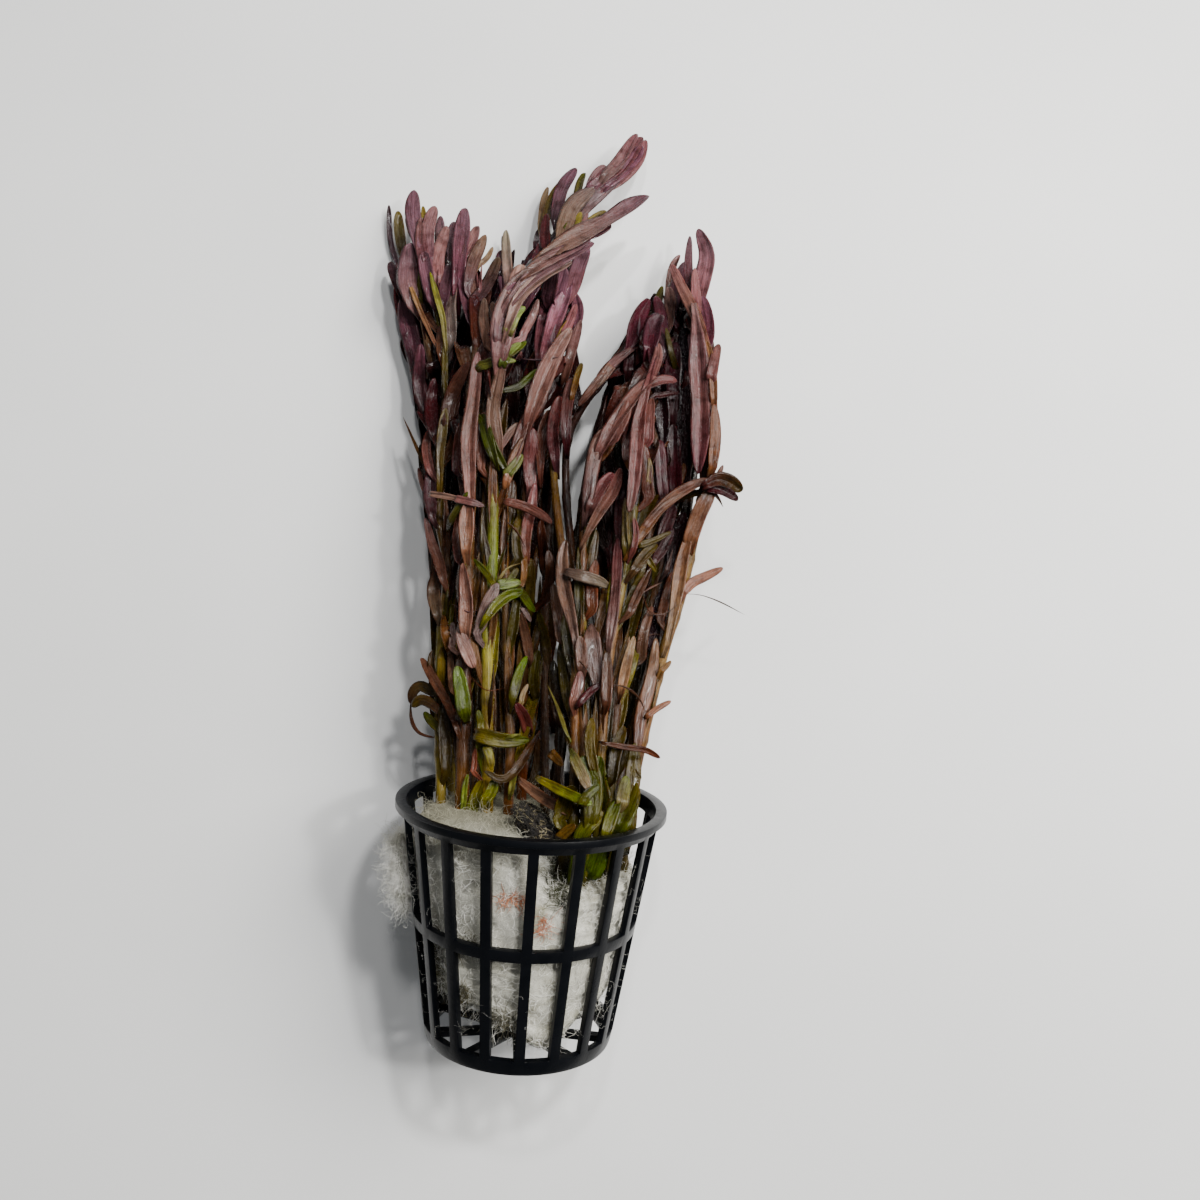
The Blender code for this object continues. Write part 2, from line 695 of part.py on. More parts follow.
def make_stem(name, line, group, parent):
    foot, tip = STEM_RADII.get(name, USUAL_RADII)
    points = stem_points(name, line)
    radii = np.linspace(foot, tip, len(points))
    radii[-1] *= 0.6
    stem = tube(name, points, radii, group, parent)
    side = "left" if "left" in name else "right"
    stem.data.materials.clear()
    stem.data.materials.append(material(name + "_leafy", COLOURS[side], 0.4))
    return stem


def make_pocket(name, line, group, parent):
    # The square hole in the floss that a stem stands in, along the stem's first stretch and a little
    # past the bend at the mouth.
    radius = math.sqrt(2.0) * (STEM_RADII.get(name, USUAL_RADII)[0] + POCKET_CLEARANCE)
    start, bend, beyond = stem_points(name, line)[:3]
    below, past = POCKET_ENDS
    route = [start - (bend - start) * below, bend, bend + (beyond - bend) * past]
    hide_helper(tube("pocket_" + name, route, [radius] * len(route), group, parent, 0))


# Leaves

def blade(points, width, sections):
    # A blunt strap along the points, lying flat, with a real thickness.
    line = smooth_line(points, LEAF_SAMPLE)
    where = np.linspace(0, len(line) - 1, sections + 1)
    index = np.arange(len(line))
    spine = [Vector([np.interp(spot, index, line[:, axis]) for axis in range(3)]) for spot in where]
    shape = bmesh.new()
    bmesh.ops.create_grid(shape, x_segments=1, y_segments=sections, size=0.5)
    for corner in shape.verts:
        step = round((corner.co.y + 0.5) * sections)
        ahead = spine[min(step + 1, sections)] - spine[max(step - 1, 0)]
        across = ahead.cross(Vector((0, 0, 1))).normalized()
        share = step / sections
        widening = min(1.0, LEAF_FOOT_SHARE + LEAF_SWELL * share)
        narrowing = 1.0 - LEAF_NARROWING * smooth_step(LEAF_TIP_START, 1.0, share)
        half = 0.5 * width * widening * narrowing
        corner.co = spine[step] + across * half * math.copysign(1.0, corner.co.x)
    bmesh.ops.recalc_face_normals(shape, faces=shape.faces)
    bmesh.ops.solidify(shape, geom=shape.faces[:], thickness=LEAF_THICKNESS)
    bmesh.ops.recalc_face_normals(shape, faces=shape.faces)
    return shape


def is_clear(shape, obstacles):
    # Whether the blade keeps its distance from everything but its own stem.
    tree = BVHTree.FromBMesh(shape)
    spots = [corner.co for corner in shape.verts] + [face.calc_center_median() for face in shape.faces]
    if min(spot.z for spot in spots) < LEAF_GROUND:
        return False
    for obstacle in obstacles:
        if tree.overlap(obstacle):
            return False
        for spot in spots:
            if obstacle.find_nearest(spot, LEAF_CLEARANCE)[0] is not None:
                return False
    return True


def nearest_on(line, across, down):
    # The point of a stem that the view shows nearest to this pixel.
    gaps = []
    for index, place in enumerate(line):
        there = point_in_view(across, down, place[2])
        gaps.append(((there - Vector(place)).length, index))
    return Vector(line[min(gaps)[1]])


def traced_leaf(line, width, rise, pixels, obstacles):
    # The leaf's outer points are lifted or lowered in small steps until it clears what is already there.
    foot = nearest_on(line, *pixels[0])
    for lift in LEAF_LIFTS:
        points = [foot]
        for count, (across, down) in enumerate(pixels[1:], 1):
            share = count / (len(pixels) - 1)
            height = max(LEAF_LOWEST, foot.z + rise * share + lift * min(1.0, 1.6 * share))
            points.append(point_in_view(across, down, height))
        for shorten in (1.0, 0.85):
            kept = points[:-1] + [points[-2].lerp(points[-1], shorten)]
            shape = blade(kept, width, len(pixels))
            if is_clear(shape, obstacles):
                return shape
            shape.free()
    return None


def grown_leaf(line, index, turn, obstacles):
    # A leaf of a lower pair: it starts at a node of the stem and leans out to one side.
    foot = Vector(line[index])
    ahead = (Vector(line[min(index + 2, len(line) - 1)]) - foot).normalized()
    side = ahead.cross(Vector((0, 0, 1))).normalized()
    for rise, spread, share in itertools.product(*LEAF_POSTURES.values()):
        way = (ahead + side * spread * turn + Vector((0, 0, rise))) * LEAF_LENGTH * share
        middle = foot + way * 0.5 + side * turn * LEAF_BOW
        shape = blade([foot, middle, foot + way], LEAF_WIDTH * share, 2)
        if is_clear(shape, obstacles):
            return shape
        shape.free()
    return None


def leaning(name, count):
    # Pairs alternate, but the outermost shoots lean their leaves inward.
    if name in LEFT_EDGE:
        return 1
    if name in RIGHT_EDGE:
        return -1
    return 1 if count % 2 else -1


def make_leaves(lines, stems, fixed, parent):
    # The leaves that show most go on first, and the lower pairs fill the room that is left.
    standing = {name: [surface_of(stem)] for name, stem in stems.items()}
    groups = {name: new_collection("leaves_" + name) for name in stems}

    def around(name):
        return fixed + [tree for other, trees in standing.items() if other != name for tree in trees]

    def add(name, shape):
        standing[name].append(BVHTree.FromBMesh(shape))
        label = name.replace("shoot", "leaf") + "_" + str(len(standing[name]) - 1)
        hide_helper(object_from(label, shape, groups[name], parent))

    for name in reversed(list(stems)):
        for width, rise, pixels in LEAVES.get(name, []):
            shape = traced_leaf(lines[name], width, rise, pixels, around(name))
            if shape:
                add(name, shape)
    for order, (name, line) in enumerate(lines.items()):
        start = FIRST_NODE + NODE_STAGGER * order % NODE_SPACING
        stop = STEM_SAMPLE * len(line) - LEAF_LENGTH
        for count, reach in enumerate(np.arange(start, stop, NODE_SPACING)):
            turn = leaning(name, count + order)
            shape = grown_leaf(line, round(reach / STEM_SAMPLE), turn, around(name))
            if shape:
                add(name, shape)
    for name, stem in stems.items():
        add_boolean(stem, "leaves", "UNION", groups[name])


def centre_on_origin(root, items):
    # The origin is the middle of the model's box, at the surface it lies on.
    bpy.context.view_layer.update()
    graph = bpy.context.evaluated_depsgraph_get()
    low = Vector((1e9, 1e9, 1e9))
    high = -low
    for item in items:
        seen = item.evaluated_get(graph)
        mesh = seen.to_mesh()
        for corner in mesh.vertices:
            place = seen.matrix_world @ corner.co
            low = Vector(map(min, low, place))
            high = Vector(map(max, high, place))
        seen.to_mesh_clear()
    root.location = (-(low.x + high.x) / 2, -(low.y + high.y) / 2, -low.z)


def main():
    clear_scene()
    parts = new_collection("rotala")
    floss_helpers = new_collection("floss_shapes")
    pockets = new_collection("pockets")
    root = bpy.data.objects.new("origin", None)
    seat = bpy.data.objects.new("pot_seat", None)
    for empty in (root, seat):
        parts.objects.link(empty)
    frame = pot_frame()
    seat.parent = root
    seat.matrix_world = Matrix.Translation(frame.translation * MM) @ frame.to_3x3().to_4x4()

    lines = settle(raw_lines(frame), frame)
    pot = make_net_pot(parts, seat)
    stems = {name: make_stem(name, line, parts, root) for name, line in lines.items()}
    for name, line in lines.items():
        make_pocket(name, line, pockets, root)
    floss = make_floss(parts, seat, floss_helpers, pockets)
    clump = make_root_clump(parts, seat)
    bpy.context.view_layer.update()

    fixed = [surface_of(item) for item in (pot, floss, clump)]
    make_leaves(lines, stems, fixed, root)
    centre_on_origin(root, [pot, floss, clump, *stems.values()])


main()
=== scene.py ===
# Looks of a bunch of rotala in its net pot, lying on its side: moulded black pot, white rooting floss,
# wiry old roots, and wet leafy stems that turn from olive at the foot to mauve at the tips.
# Shapes are worked out in millimetres, in the frame of the view, and written to the meshes in metres.

import math

import bmesh
import bpy
import numpy as np
from mathutils import Matrix, Vector, noise


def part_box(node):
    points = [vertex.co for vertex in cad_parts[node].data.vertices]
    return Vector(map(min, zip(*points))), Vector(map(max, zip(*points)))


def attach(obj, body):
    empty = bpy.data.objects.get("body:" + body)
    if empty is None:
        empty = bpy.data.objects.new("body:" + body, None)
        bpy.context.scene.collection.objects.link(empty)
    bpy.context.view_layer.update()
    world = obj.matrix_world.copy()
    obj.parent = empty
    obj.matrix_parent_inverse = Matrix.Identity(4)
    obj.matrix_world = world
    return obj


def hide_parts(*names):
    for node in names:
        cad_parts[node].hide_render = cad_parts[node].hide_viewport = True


mm = 0.001
chance = np.random.default_rng(7)

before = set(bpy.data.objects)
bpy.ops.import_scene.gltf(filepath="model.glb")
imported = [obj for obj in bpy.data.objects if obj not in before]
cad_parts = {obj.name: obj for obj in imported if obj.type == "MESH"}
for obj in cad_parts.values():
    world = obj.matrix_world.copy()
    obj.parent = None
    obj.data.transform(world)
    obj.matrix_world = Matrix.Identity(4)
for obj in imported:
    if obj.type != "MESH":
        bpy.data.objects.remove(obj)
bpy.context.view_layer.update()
root = "root"


# View that the leaves are placed through

view = {"focal": 1200.0, "middle": 600.0, "size": 1200, "distance": 269.7, "pitch": math.radians(4.22)}


def pointInView(across, down, height):
    # The point at this height above the surface that the view shows at this pixel.
    sightX = (across - view["middle"]) / view["focal"]
    sightY = (view["middle"] - down) / view["focal"]
    sine, cosine = math.sin(view["pitch"]), math.cos(view["pitch"])
    reach = (height - view["distance"] * cosine) / (sightY * sine - cosine)
    return np.array([reach * sightX, -view["distance"] * sine + reach * (sightY * cosine + sine), height])


def pixelOf(points):
    # The pixels at which the view shows these points.
    sine, cosine = math.sin(view["pitch"]), math.cos(view["pitch"])
    seen = np.asarray(points) - np.array([0.0, -view["distance"] * sine, view["distance"] * cosine])
    depth = seen[..., 1] * sine - seen[..., 2] * cosine
    rise = seen[..., 1] * cosine + seen[..., 2] * sine
    scale = view["focal"] / depth
    return view["middle"] + scale * seen[..., 0], view["middle"] - scale * rise


# Net pot sizes and place

potSize = {
    "rimRadius": 27.0, "height": 48.1, "wall": 1.3, "footRadius": 18.9, "footRounding": 0.8,
    "wallTopRadius": 25.3, "rimBand": 3.0, "footBand": 3.1, "ringLow": 23.6, "ringHigh": 25.8,
    "ribs": 18, "ribWidth": 2.0, "ribStart": math.radians(5.0), "hubRadius": 3.2, "footRingInner": 16.9,
    "turn": math.radians(3.9), "footX": -16.8, "footY": -89.5, "baseRow": 10.0, "lowRow": 13.0,
    "highRow": 35.0, "lipFlare": 0.5, "edgeRounding": 0.22,
}


def wallRadius(height):
    span = potSize["height"] - potSize["rimBand"]
    return potSize["footRadius"] + (potSize["wallTopRadius"] - potSize["footRadius"]) * height / span


def potFrame():
    flangeLow = potSize["height"] - potSize["wall"]
    climb = math.atan2(potSize["rimRadius"] - potSize["footRadius"], flangeLow - potSize["footRounding"])
    turn = potSize["turn"]
    along = Vector((math.sin(turn) * math.cos(climb), math.cos(turn) * math.cos(climb), math.sin(climb)))
    right = Vector((math.cos(turn), -math.sin(turn), 0.0))
    up = right.cross(along)
    footHeight = potSize["footRadius"] * math.cos(climb) - potSize["footRounding"] * math.sin(climb)
    turned = Matrix((up, right, along)).transposed().to_4x4()
    turned.translation = Vector((potSize["footX"], potSize["footY"], footHeight))
    return turned


potSeat = np.array(potFrame())


def inPot(points):
    # From the pot's own axes (up, right, along) to the view's frame.
    return np.asarray(points) @ potSeat[:3, :3].T + potSeat[:3, 3]


def polar(radius, angle, height):
    return np.stack(np.broadcast_arrays(radius * np.cos(angle), radius * np.sin(angle), height), axis=-1)


def frameShift():
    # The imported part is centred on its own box; the pot's rim shows by how much it moved.
    corners = []
    for rib in range(potSize["ribs"]):
        half = math.asin(0.5 * potSize["ribWidth"] / potSize["rimRadius"])
        for part in (-half, half, math.pi / potSize["ribs"]):
            angle = potSize["ribStart"] + math.tau * rib / potSize["ribs"] + part
            for height in (potSize["height"], potSize["height"] - potSize["wall"]):
                corners.append(inPot(polar(potSize["rimRadius"], angle, height)))
    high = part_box("net_pot")[1]
    corners = np.array(corners)
    return np.array([
        high.x / mm - corners[:, 0].max(),
        high.y / mm - corners[:, 1].max(),
        high.z / mm - corners[:, 2].max(),
    ])


shift = frameShift()
print("frame shift", [round(float(value), 3) for value in shift])


# Colours

def linear(code):
    # An sRGB code as the linear colour that the shaders use.
    parts = [int(code[k:k + 2], 16) / 255 for k in (1, 3, 5)]
    return tuple(c / 12.92 if c <= 0.04045 else ((c + 0.055) / 1.055) ** 2.4 for c in parts) + (1.0,)


leafColours = {
    "mauve": "#6b3d48", "rose": "#7a4749", "rosePale": "#865d59", "orchid": "#7e4d5c", "dusk": "#4e2f36",
    "plum": "#33171e", "night": "#200c17", "wine": "#381114", "wineRose": "#541f2a", "greyMauve": "#5f494c",
    "dustyRose": "#6a4a47", "blush": "#806155", "pearl": "#957e71", "lilac": "#80686c", "umber": "#4a3025",
    "umberRose": "#664034", "greyUmber": "#59483d", "greyBeige": "#70655b", "tan": "#825830",
    "tanRose": "#875e49", "tanBlush": "#8d6c54", "straw": "#7d723e", "amber": "#705020", "rust": "#5e2e1a",
    "olive": "#514710", "darkOlive": "#2e2608", "oliveYellow": "#655b0e", "green": "#4a5b0f",
    "greenPale": "#6f7d3c", "salmon": "#92655c",
}
tone = {name: np.array(linear(code)[:3]) for name, code in leafColours.items()}


# Nodes

def joinUp(tree, node, links):
    # A link from a node takes that node's first output in use.
    for key, source in links.items():
        if isinstance(source, bpy.types.Node):
            source = next(output for output in source.outputs if output.enabled)
        tree.links.new(source, node.inputs[key])


def addNode(tree, kind, settings=None, links=None):
    node = tree.nodes.new(kind)
    for key, value in (settings or {}).items():
        if key == "stops":
            while len(node.color_ramp.elements) < len(value):
                node.color_ramp.elements.new(0.5)
            for element, (place, code) in zip(node.color_ramp.elements, value):
                element.position = place
                element.color = linear(code)
        elif isinstance(key, str) and hasattr(node, key):
            setattr(node, key, value)
        else:
            node.inputs[key].default_value = value
    joinUp(tree, node, links or {})
    return node


def newMaterial(name, settings):
    # A material with its shader set, and the place on the piece that its patterns read.
    made = bpy.data.materials.new(name)
    made.use_nodes = True
    tree = made.node_tree
    shader = tree.nodes["Principled BSDF"]
    for key, value in settings.items():
        shader.inputs[key].default_value = value
    return made, tree, shader, addNode(tree, "ShaderNodeTexCoord").outputs["Object"]


def perMetre(size):
    # Scale of a pattern whose features are this many millimetres apart.
    return 1.0 / (size * mm)


multiply = {"data_type": "RGBA", "blend_type": "MULTIPLY"}

# Sizes of patterns and heights of relief are in millimetres, here and in the finishes below.
potFinish = {
    "clouds": 5.56, "sheen": 1.43, "grain": 0.625, "relief": 0.03, "rough": (0.2, 0.42),
    "tones": [(0.3, "#020305"), (0.7, "#07080b")],
}


def potPlastic():
    # Injection-moulded black polypropylene: a satin skin, slightly uneven, with a thin film of water.
    made, tree, shader, place = newMaterial("potPlastic", {"Specular IOR Level": 0.18, "IOR": 1.45})
    clouds, sheen, grain = (
        addNode(
            tree, "ShaderNodeTexNoise", {"Scale": perMetre(potFinish[name]), "Detail": detail},
            {"Vector": place},
        )
        for name, detail in (("clouds", 3.0), ("sheen", 4.0), ("grain", 2.0))
    )
    low, high = potFinish["rough"]
    joinUp(tree, shader, {
        "Base Color": addNode(tree, "ShaderNodeValToRGB", {"stops": potFinish["tones"]}, {"Fac": clouds}),
        "Roughness": addNode(tree, "ShaderNodeMapRange", {"To Min": low, "To Max": high}, {"Value": sheen}),
        "Normal": addNode(tree, "ShaderNodeBump", {"Distance": potFinish["relief"] * mm}, {"Height": grain}),
    })
    return made


# Towards the mouth of the pot the floss is darkened: partly damp, partly painted shade.
flossFinish = {
    "silt": 6.25, "grain": 0.385, "relief": 0.22, "grainShare": 0.55, "dampShadeFrom": -58.0, "dampShadeTo": -50.0,
    "siltTones": [(0.28, "#7f7c69"), (0.42, "#a5a396"), (0.7, "#bdbbb0")],
    "grainTones": [(0.34, "#9c998c"), (0.56, "#ffffff")], "dampShadeTones": [(0.0, "#ffffff"), (1.0, "#b0ad9c")],
    "thread": ("#b9b7ab", "#f1efe8", 0.5), "stainRough": 0.7,
}


def dampAndShaded(tree, place, colour):
    # The floss is darker and greyer towards the mouth of the pot, where it is packed round the stems:
    # partly damp, partly painted shade under the rim.
    along = addNode(tree, "ShaderNodeSeparateXYZ", links={"Vector": place}).outputs["Y"]
    dampShadeShare = addNode(
        tree, "ShaderNodeMapRange",
        {"From Min": flossFinish["dampShadeFrom"] * mm, "From Max": flossFinish["dampShadeTo"] * mm}, {"Value": along},
    )
    tint = addNode(tree, "ShaderNodeValToRGB", {"stops": flossFinish["dampShadeTones"]}, {"Fac": dampShadeShare})
    return addNode(tree, "ShaderNodeMix", {**multiply, 0: 1.0}, {6: colour, 7: tint})


def flossFelt():
    # Polyester rooting floss pressed into felt: off-white, damp, with threads in every direction and
    # a little silt caught between them. Its fibres are some 0.03 mm thick, which is too fine to show, so
    # the grain is drawn coarser.
    made, tree, shader, place = newMaterial("flossFelt", {"Roughness": 0.92})
    scale = perMetre(flossFinish["silt"])
    silt = addNode(
        tree, "ShaderNodeTexNoise", {"Scale": scale, "Detail": 5.0, "Distortion": 0.6}, {"Vector": place}
    )
    scale = perMetre(flossFinish["grain"])
    grain = addNode(
        tree, "ShaderNodeTexNoise", {"Scale": scale, "Detail": 3.0, "Distortion": 2.5}, {"Vector": place}
    )
    ground = addNode(tree, "ShaderNodeValToRGB", {"stops": flossFinish["siltTones"]}, {"Fac": silt})
    light = addNode(tree, "ShaderNodeValToRGB", {"stops": flossFinish["grainTones"]}, {"Fac": grain})
    colour = addNode(tree, "ShaderNodeMix", {**multiply, 0: flossFinish["grainShare"]}, {6: ground, 7: light})
    joinUp(tree, shader, {
        "Base Color": dampAndShaded(tree, place, colour),
        "Normal": addNode(
            tree, "ShaderNodeBump", {"Distance": flossFinish["relief"] * mm}, {"Height": grain}
        ),
    })
    return made


threadTone = 2.38  # millimetres over which a thread's tone changes


def threadSkin(name, dark, light, roughness):
    # Drawn polyester fibres and, in their own tones, wiry roots: round, dull and a little uneven in tone.
    made, tree, shader, place = newMaterial(name, {"Roughness": roughness})
    clouds = addNode(
        tree, "ShaderNodeTexNoise", {"Scale": perMetre(threadTone), "Detail": 4.0}, {"Vector": place}
    )
    tint = addNode(tree, "ShaderNodeValToRGB", {"stops": [(0.35, dark), (0.65, light)]}, {"Fac": clouds})
    # Darker towards the mouth of the pot too: partly damp, partly painted shade.
    joinUp(tree, shader, {"Base Color": dampAndShaded(tree, place, tint)})
    return made


leafFinish = {
    "ribs": (0.294, 5.0), "wrinkles": (0.625, 1.25), "blotches": 2.38, "relief": 0.16,
    "ribShare": 0.75, "blotchShare": 0.6,
    "rough": {"From Min": 0.42, "From Max": 0.57, "To Min": 0.36, "To Max": 0.07},
    "ribTones": [(0.34, "#8f827b"), (0.48, "#d6d0ca"), (0.66, "#ffffff")],
    "blotchTones": [(0.34, "#8b7068"), (0.52, "#ffffff")],
}


def leafSkin():
    # Wet leaf of a water plant: thin soft tissue, its colour given along each blade, with fine ribs along
    # the blade, small wrinkles, darker blotches and a film of water.
    made, tree, shader, place = newMaterial("leafSkin", {
        "IOR": 1.38, "Specular IOR Level": 0.2, "Coat Weight": 0.04, "Coat Roughness": 0.07,
        "Subsurface Weight": 0.08, "Subsurface Scale": 0.5 * mm,
    })
    colour = addNode(tree, "ShaderNodeAttribute", {"attribute_name": "bladeColour"})
    onBlade = addNode(tree, "ShaderNodeAttribute", {"attribute_name": "bladePlace"}).outputs["Vector"]
    patterns = []
    for name, detail, distortion in (("ribs", 5.0, 0.0), ("wrinkles", 4.0, 1.4)):
        across, along = leafFinish[name]
        spaced = addNode(
            tree, "ShaderNodeMapping", {"Scale": (1.0 / across, 1.0 / along, 1.0)}, {"Vector": onBlade}
        )
        patterns.append(addNode(
            tree, "ShaderNodeTexNoise", {"Scale": 1.0, "Detail": detail, "Distortion": distortion},
            {"Vector": spaced},
        ))
    ribs, wrinkles = patterns
    scale = perMetre(leafFinish["blotches"])
    blotches = addNode(tree, "ShaderNodeTexNoise", {"Scale": scale, "Detail": 4.0}, {"Vector": place})
    for pattern, tones, share in ((ribs, "ribTones", "ribShare"), (blotches, "blotchTones", "blotchShare")):
        shade = addNode(tree, "ShaderNodeValToRGB", {"stops": leafFinish[tones]}, {"Fac": pattern})
        colour = addNode(tree, "ShaderNodeMix", {**multiply, 0: leafFinish[share]}, {6: colour, 7: shade})
    folds = addNode(tree, "ShaderNodeMath", {"operation": "ADD"}, {0: ribs, 1: wrinkles})
    joinUp(tree, shader, {
        "Base Color": colour,
        "Roughness": addNode(tree, "ShaderNodeMapRange", leafFinish["rough"], {"Value": wrinkles}),
        "Normal": addNode(tree, "ShaderNodeBump", {"Distance": leafFinish["relief"] * mm}, {"Height": folds}),
    })
    return made


# Mesh building

def newHeap(points=(), faces=()):
    return {"points": [*points], "faces": [*faces], "colours": [], "places": [], "rings": [], "count": 0}


def addObject(name, data):
    made = bpy.data.objects.new(name, data)
    bpy.context.scene.collection.objects.link(made)
    return made


def bandFaces(index):
    # Four-cornered faces between each ring of point numbers and the next.
    following = np.roll(index, -1, axis=-1)
    corners = index[..., :-1, :], following[..., :-1, :], following[..., 1:, :], index[..., 1:, :]
    return np.stack(corners, axis=-1).reshape(-1, 4).tolist()


def addLoft(heap, rings, colours, places):
    # A closed skin through the rings, (sections, around, 3), each ring running right-handed about the way
    # the sections go.
    sections, around = rings.shape[:2]
    index = heap["count"] + np.arange(sections * around).reshape(sections, around)
    heap["faces"] += bandFaces(index) + [index[0, ::-1].tolist(), index[-1].tolist()]
    heap["points"].append(rings.reshape(-1, 3))
    heap["rings"].append(rings)
    heap["colours"].append(np.broadcast_to(colours, rings.shape).reshape(-1, 3))
    heap["places"].append(places.reshape(-1, 3))
    heap["count"] += sections * around


def pieceFrom(name, heap, finish, nodes=()):
    points = (np.concatenate(heap["points"]) + shift) * mm
    mesh = bpy.data.meshes.new(name)
    mesh.from_pydata(points.tolist(), [], heap["faces"])
    if heap["colours"]:
        colours = np.concatenate(heap["colours"])
        colours = np.hstack([colours, np.ones((len(colours), 1))])
        places = np.concatenate(heap["places"])
        layer = mesh.attributes.new("bladeColour", "FLOAT_COLOR", "POINT")
        layer.data.foreach_set("color", colours.astype(np.float32).ravel())
        layer = mesh.attributes.new("bladePlace", "FLOAT_VECTOR", "POINT")
        layer.data.foreach_set("vector", places.astype(np.float32).ravel())
    mesh.shade_smooth()
    mesh.materials.append(finish)
    made = addObject(name, mesh)
    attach(made, root)
    if nodes:
        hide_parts(*nodes)
    return made


def distances(line):
    # How far along the line each of its points lies.
    return np.concatenate([[0.0], np.cumsum(np.linalg.norm(np.diff(line, axis=0), axis=1))])


def between(where, at, rows):
    # Rows of a table at places between its own.
    return np.stack([np.interp(where, at, column) for column in rows.T], axis=1)


def unit(ways):
    return ways / np.maximum(np.linalg.norm(ways, axis=-1, keepdims=True), 1e-9)


def smoothLine(points, count):
    # Evenly spaced points along a smooth curve through the given ones.
    given = np.asarray(points, float)
    if len(given) == 2:
        return given[0] + (given[1] - given[0]) * np.linspace(0.0, 1.0, count)[:, None]
    ends = np.concatenate([[2 * given[0] - given[1]], given, [2 * given[-1] - given[-2]]])
    share = np.linspace(0.0, 1.0, 12, endpoint=False)[:, None]
    fine = []
    for before, start, stop, after in zip(ends, ends[1:], ends[2:], ends[3:]):
        fine.append(0.5 * (
            2 * start
            + (stop - before) * share
            + (2 * before - 5 * start + 4 * stop - after) * share ** 2
            + (3 * start - before - 3 * stop + after) * share ** 3
        ))
    line = np.concatenate(fine + [given[-1:]])
    gone = distances(line)
    return between(np.linspace(0.0, gone[-1], count), gone, line)


def lineFrames(line, upward=(0.0, 0.0, 1.0)):
    # Unit vectors along the line, across it and over it.
    ahead = unit(np.gradient(line, axis=-2))
    across = unit(np.cross(ahead, np.asarray(upward, float)))
    return ahead, across, np.cross(across, ahead)


patternStarts = 50  # millimetres: each blade and stem takes its pattern from a place of its own
anyPhase = 6  # radians, nearly a whole turn

# Lengths are in millimetres; the heights of waves and ridges are shares of the blade's width.
leafShape = {
    "across": 9, "thickness": 0.32, "tipBunching": 1.45, "widest": (0.35, 0.6), "foot": 0.3,
    "endLeast": 0.08, "sway": 0.07, "swayLength": 2.7, "ridge": 0.025, "ridges": (4.5, 7.5),
    "crease": (-0.1, 0.55), "wave": 0.05, "waveLength": 3.1, "ripple": 0.04, "rippleLength": 1.9,
    "rippleAcross": 2.4, "midrib": (-0.15, 0.2), "midribWidth": 0.16, "rimDark": (0.0, 0.1),
    "brightness": (0.9, 1.1), "clearance": 0.05, "below": [6, 4, 2], "belowShare": [0.85, 1.0, 0.85],
}


def addLeaf(heap, path, width, footTone, tipTone, roll, cup, pointed, sections, twist=0.0):
    # A strap-shaped blade along the path, foot first: cupped, ribbed and a little wavy.
    look = leafShape
    fine = smoothLine(path, 60)
    along = 1.0 - (1.0 - np.linspace(0.0, 1.0, sections + 1)) ** look["tipBunching"]
    line = between(along, np.linspace(0.0, 1.0, len(fine)), fine)
    length = np.linalg.norm(np.diff(line, axis=0), axis=1).sum()
    across, over = lineFrames(line)[1:]
    angle = (math.radians(roll) + math.radians(twist) * along)[:, None]
    side = np.cos(angle) * across + np.sin(angle) * over
    face = np.cos(angle) * over - np.sin(angle) * across
    # Outline: it swells from the foot to its widest place, then closes to a round or a pointed end.
    widest = chance.uniform(*look["widest"])
    late = np.clip((along - widest) / (1.0 - widest), 0.0, 1.0)
    ending = (1.0 - late) ** 0.75 if pointed else np.maximum(0.0, 1.0 - late ** 3.6) ** 0.5
    early = np.clip(along / widest, 0.0, 1.0)
    swell = look["foot"] + (1.0 - look["foot"]) * early * early * (3 - 2 * early)
    half = 0.5 * width * swell * np.maximum(ending, look["endLeast"])
    half *= 1.0 + look["sway"] * np.sin(along * length / look["swayLength"] + chance.uniform(0, anyPhase))
    # Relief across the blade (u runs from one edge to the other): cup, crease, ridges, waves, ripples.
    u = np.linspace(-1.0, 1.0, look["across"])
    phase = chance.uniform(0, anyPhase, 4)
    ridges = look["ridge"] * width * np.cos(u * chance.uniform(*look["ridges"]) + phase[0])
    crease = chance.uniform(*look["crease"]) * np.abs(u)
    waves = np.sin(along * length / look["waveLength"] + phase[1])[:, None]
    waves = waves * (look["wave"] * width * u * np.abs(u))[None, :]
    ripples = look["ripple"] * width * np.sin(along * length / look["rippleLength"] + phase[2])[:, None]
    waves = waves + ripples * np.cos(look["rippleAcross"] * u + phase[3])[None, :]
    lift = half[:, None] * (cup * (u ** 2 - 0.3) + crease)[None, :]
    lift = lift + (ridges[None, :] + waves) * ending[:, None]
    body = look["thickness"] * np.minimum(1.0, 0.35 + ending)[:, None]
    top = line[:, None] + side[:, None] * (half[:, None] * u[None, :])[..., None]
    top = top + face[:, None] * (lift + 0.5 * body * np.sqrt(1.0 - (0.95 * u) ** 2)[None, :])[..., None]
    below = top[:, look["below"]] - face[:, None] * (body * np.array(look["belowShare"]))[..., None]
    rings = np.concatenate([top, below], axis=1)
    rings[..., 2] += np.maximum(0.0, look["clearance"] - rings[..., 2].min(axis=1))[:, None]
    # Colour: from foot to tip, with a midrib of another tone and darker edges.
    spread = np.concatenate([u, u[look["below"]]])
    share = along[:, None, None] ** 1.2
    colours = footTone * (1.0 - share) + tipTone * share
    rib = np.exp(-(spread / look["midribWidth"]) ** 2)[None, :, None]
    middle = 1.0 + chance.uniform(*look["midrib"]) * rib
    middle = middle - chance.uniform(*look["rimDark"]) * (spread ** 4)[None, :, None]
    colours = np.broadcast_to(colours, rings.shape) * middle * chance.uniform(*look["brightness"])
    start = chance.uniform(0, patternStarts)
    places = np.stack(np.broadcast_arrays(
        half[:, None] * spread[None, :] + start, (along * length)[:, None] + start, start
    ), axis=-1)
    addLoft(heap, rings, colours, places)


